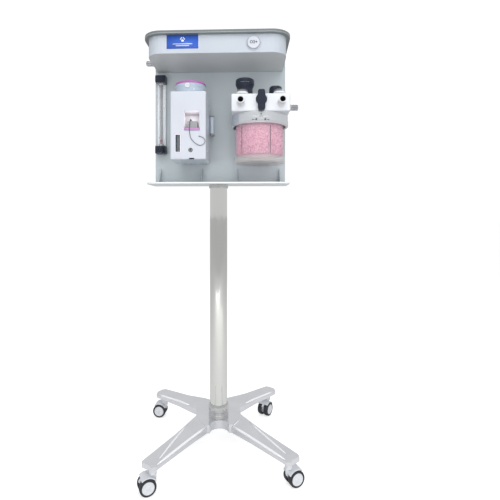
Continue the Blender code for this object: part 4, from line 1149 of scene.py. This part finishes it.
def make_lever():
    low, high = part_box("selector_lever")
    place = Vector(joint("selector_lever_turn")["pos_m"])
    base_y = high.y - place.y
    disc = [(0.0, -base_y), (0.0178, -base_y), (0.018, 0.001), (0.018, 0.0052), (0.017, 0.0066), (0.0, 0.007)]
    lathe("lever_base", disc, "black", "selector_lever", place, FRONT, 72, 0.0005,
          replaces="selector_lever")
    up, down, reach = high.z - place.z, place.z - low.z, place.y - low.y
    # the handle, seen from the front: rounded ends, a waist above and below the base
    half = 0.0126
    outline = []
    for step in range(48):
        angle = 2 * math.pi * step / 48
        x = half * math.copysign(abs(math.cos(angle)) ** 0.35, math.cos(angle))
        along = up if math.sin(angle) > 0 else down
        y = along * math.copysign(abs(math.sin(angle)) ** 0.5, math.sin(angle))
        waist = 1.0 - 0.05 * math.exp(-((abs(y) - 0.018) / 0.007) ** 2)
        outline.append((x * waist, y))
    handle = place_piece("lever_handle", extruded(outline, 0.0066, reach), "black", "selector_lever",
                         place, FRONT)
    soften(handle, 0.003, 4, 50.0)
    for number, y in enumerate((-0.029, -0.0255, -0.022, 0.018, 0.0215), start=1):
        rib = cuboid((-0.0075, y - 0.0006, reach - 0.0006), (0.0075, y + 0.0006, reach + 0.0004))
        soften(place_piece(f"lever_rib_{number}", rib, "black", "selector_lever", place, FRONT),
               0.0003, 2)


def make_spigot():
    low, middle, _ = box("hose_spigot")
    place = (low.x, middle.y, middle.z)
    barb = mm((0, 0), (11.2, 0), (11.2, 4), (10.4, 5), (8, 5.4), (8, 8))
    for number in range(4):
        start = 0.008 + 0.005 * number
        barb += [(0.0104, start + 0.0004), (0.0086, start + 0.0046)]
    barb += [(0.0084, 0.0289), (0.006, 0.0289), (0.0058, 0.024), (0.0, 0.024)]
    lathe("spigot_barbed", barb, "satin", "stand", place, RIGHT, 64, 0.0002,
          replaces="hose_spigot")


def on_ring(angle, radius, centre):
    """A frame on a vertical cylinder's surface: X to the right, Y up and Z outward, at an angle from the front."""
    out = Vector((math.sin(angle), -math.cos(angle), 0.0))
    across = Vector((math.cos(angle), math.sin(angle), 0.0))
    place = Vector(centre) + out * radius
    return Matrix(((across.x, 0, out.x, place.x), (across.y, 0, out.y, place.y), (0, 1, 0, place.z), (0, 0, 0, 1)))


def make_lock_ring():
    low, middle, high = box("lock_ring")
    centre = (middle.x, middle.y, 0.0)
    outer = (high.x - low.x) / 2
    profile = [(0.089, low.z), (outer - 0.002, low.z), (outer - 0.0006, low.z + 0.0008), (outer, low.z + 0.0024),
               (outer, low.z + 0.019), (outer - 0.001, low.z + 0.02), (outer - 0.001, high.z - 0.0008),
               (outer - 0.0018, high.z), (0.08, high.z), (0.08, 1.131), (0.089, 1.131)]
    lathe("lock_ring_grip", profile, "ring", "lock_ring", centre, None, 128, 0.0005,
          replaces="lock_ring")
    seal = [(0.0876, low.z - 0.0002), (0.0892, low.z - 0.0002), (0.0892, low.z + 0.003), (0.0876, low.z + 0.003)]
    lathe("lock_ring_seal", seal, "plug", "lock_ring", centre, None, 96, 0.0)
    # closed and open padlocks with their arrows
    for name, degrees, side in (("locked", -7.5, -1), ("open", 9.3, 1)):
        spot = on_ring(math.radians(degrees), outer - 0.0001, (centre[0], centre[1], 1.11))
        body = extruded(round_rectangle(0.0027, 0.0022, 0.0004, 3), 0.0, 0.0003)
        shift = 0.0 if side < 0 else 0.0012
        outside, inside = ([(shift + x, 0.0024 + 1.35 * y) for x, y in arc((0.0, 0.0), radius, 0, 180, 10)]
                           for radius in (0.0023, 0.0014))
        arch = extruded(outside + inside[::-1], 0.0, 0.0003)
        arrow_spot = on_ring(math.radians(degrees + side * 5.6), outer - 0.0001, (centre[0], centre[1], 1.11))
        tail = [(-0.005 * side, -0.0007), (0.0018 * side, -0.0007), (0.0018 * side, -0.0018), (0.0052 * side, 0.0),
                (0.0018 * side, 0.0018), (0.0018 * side, 0.0007), (-0.005 * side, 0.0007)]
        arrow = extruded(tail, 0.0, 0.0003)
        parts = [moved(body, spot), moved(arch, spot), moved(arrow, arrow_spot)]
        place_piece(f"ring_marks_{name}", joined(parts), "mark", "lock_ring")
    pointer = extruded([(-0.0022, 0.009), (0.0, -0.001), (0.0022, 0.009)], 0.0, 0.0005)
    place_piece("ring_pointer", moved(pointer, on_ring(math.radians(1.5), outer - 0.0001,
                                                       (centre[0], centre[1], 1.121))), "satin", "lock_ring")


def make_canister():
    low, middle, high = box("canister")
    grain_low, grain_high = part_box("absorbent")
    centre = (middle.x, middle.y, 0.0)
    outer = (high.x - low.x) / 2
    inner = outer - 0.004
    ledge = grain_low.z - 0.0003
    wall = [(inner - 0.009, ledge - 0.004), (outer - 0.0006, ledge - 0.004), (outer, ledge - 0.003),
            (outer, high.z - 0.0006), (outer - 0.0006, high.z), (inner, high.z), (inner, ledge),
            (inner - 0.009, ledge)]
    lathe("canister_wall", wall, "clear", "canister", centre, None, 128, 0.0,
          replaces="canister")
    base = [(0.0, low.z), (outer - 0.005, low.z), (outer - 0.0018, low.z + 0.0014), (outer, low.z + 0.005),
            (outer, ledge - 0.0044), (outer - 0.0045, ledge - 0.0044), (outer - 0.0045, low.z + 0.006),
            (outer - 0.0075, low.z + 0.003), (0.0, low.z + 0.003)]
    lathe("canister_base", base, "clear_base", "canister", centre, None, 128, 0.0)
    make_grains(centre, grain_low, grain_high)
    # ribs moulded inside the wall, each with its row of level marks
    for number, degrees in enumerate((-43.4, 22.7, 136.6, -157.3), start=1):
        spot = on_ring(math.radians(degrees), outer - 0.0002, (centre[0], centre[1], 0.0))
        rib_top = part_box("lock_ring")[0].z - 0.006
        parts = [cuboid((-0.0007, grain_low.z + 0.001, -0.0002), (0.0007, rib_top, 0.0001))]
        count = int((rib_top - grain_low.z) / 0.0046)
        for step in range(count):
            z = grain_low.z + 0.0035 + step * 0.0046
            parts.append(cuboid((-0.0015, z - 0.0009, -0.0002), (0.0015, z + 0.0009, 0.0001)))
        place_piece(f"canister_rib_{number}", moved(joined(parts), spot), "mark", "canister")


def make_grains(centre, low, high):
    """Thousands of small angular grains against the canister's wall, round a plain core."""
    radius = (high.x - low.x) / 2
    core = [(0.0, low.z + 0.0005), (radius - 0.0018, low.z + 0.0005), (radius - 0.0018, high.z - 0.001),
            (0.0, high.z - 0.001)]
    lathe("absorbent_core", core, "grains", "canister", centre, None, 96, 0.0,
          replaces="absorbent")
    rng = np.random.default_rng(7)
    seed = bmesh.new()
    bmesh.ops.create_icosphere(seed, subdivisions=1, radius=1.0)
    shape = np.array([vert.co[:] for vert in seed.verts])
    faces = np.array([[vert.index for vert in face.verts] for face in seed.faces])
    seed.free()
    spots = []
    row_height, spacing = 0.0032, 0.0034
    rows = int((high.z - low.z - 0.003) / row_height)
    for row in range(rows):
        around = int(2 * math.pi * radius / spacing)
        angles = (np.arange(around) + 0.5 * (row % 2) + rng.uniform(-0.25, 0.25, around)) * 2 * math.pi / around
        heights = low.z + 0.0022 + row_height * row + rng.uniform(-0.0007, 0.0007, around)
        depth = radius - 0.0016 + rng.uniform(-0.0006, 0.0004, around)
        spots.append(np.stack([depth * np.cos(angles), depth * np.sin(angles), heights], axis=1))
    spots = np.concatenate(spots)
    sizes = rng.uniform(0.0014, 0.002, (len(spots), 1, 1)) * rng.uniform(0.8, 1.15, (len(spots), 1, 3))
    turns = rng.normal(size=(len(spots), 4))
    turns /= np.linalg.norm(turns, axis=1, keepdims=True)
    w, x, y, z = turns.T
    rotation = np.stack([
        np.stack([1 - 2 * (y * y + z * z), 2 * (x * y - z * w), 2 * (x * z + y * w)], axis=1),
        np.stack([2 * (x * y + z * w), 1 - 2 * (x * x + z * z), 2 * (y * z - x * w)], axis=1),
        np.stack([2 * (x * z - y * w), 2 * (y * z + x * w), 1 - 2 * (x * x + y * y)], axis=1),
    ], axis=1)
    points = np.einsum("nij,nkj->nki", rotation, shape[None] * sizes) + spots[:, None, :] + np.array(centre)
    links = faces[None] + len(shape) * np.arange(len(spots))[:, None, None]
    mesh = bpy.data.meshes.new("absorbent_grains")
    mesh.from_pydata(points.reshape(-1, 3).tolist(), [], links.reshape(-1, 3).tolist())
    mesh.materials.append(FINISHES["grains"])
    grains = bpy.data.objects.new("absorbent_grains", mesh)
    bpy.context.scene.collection.objects.link(grains)
    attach(grains, "canister")


def main():
    make_camera()
    make_studio()
    dress_stand()
    make_wheels()
    dress_case()
    make_label()
    make_flush()
    make_inlet()
    make_flowmeter()
    make_vaporizer()
    make_gas_outlet()
    make_absorber()


main()
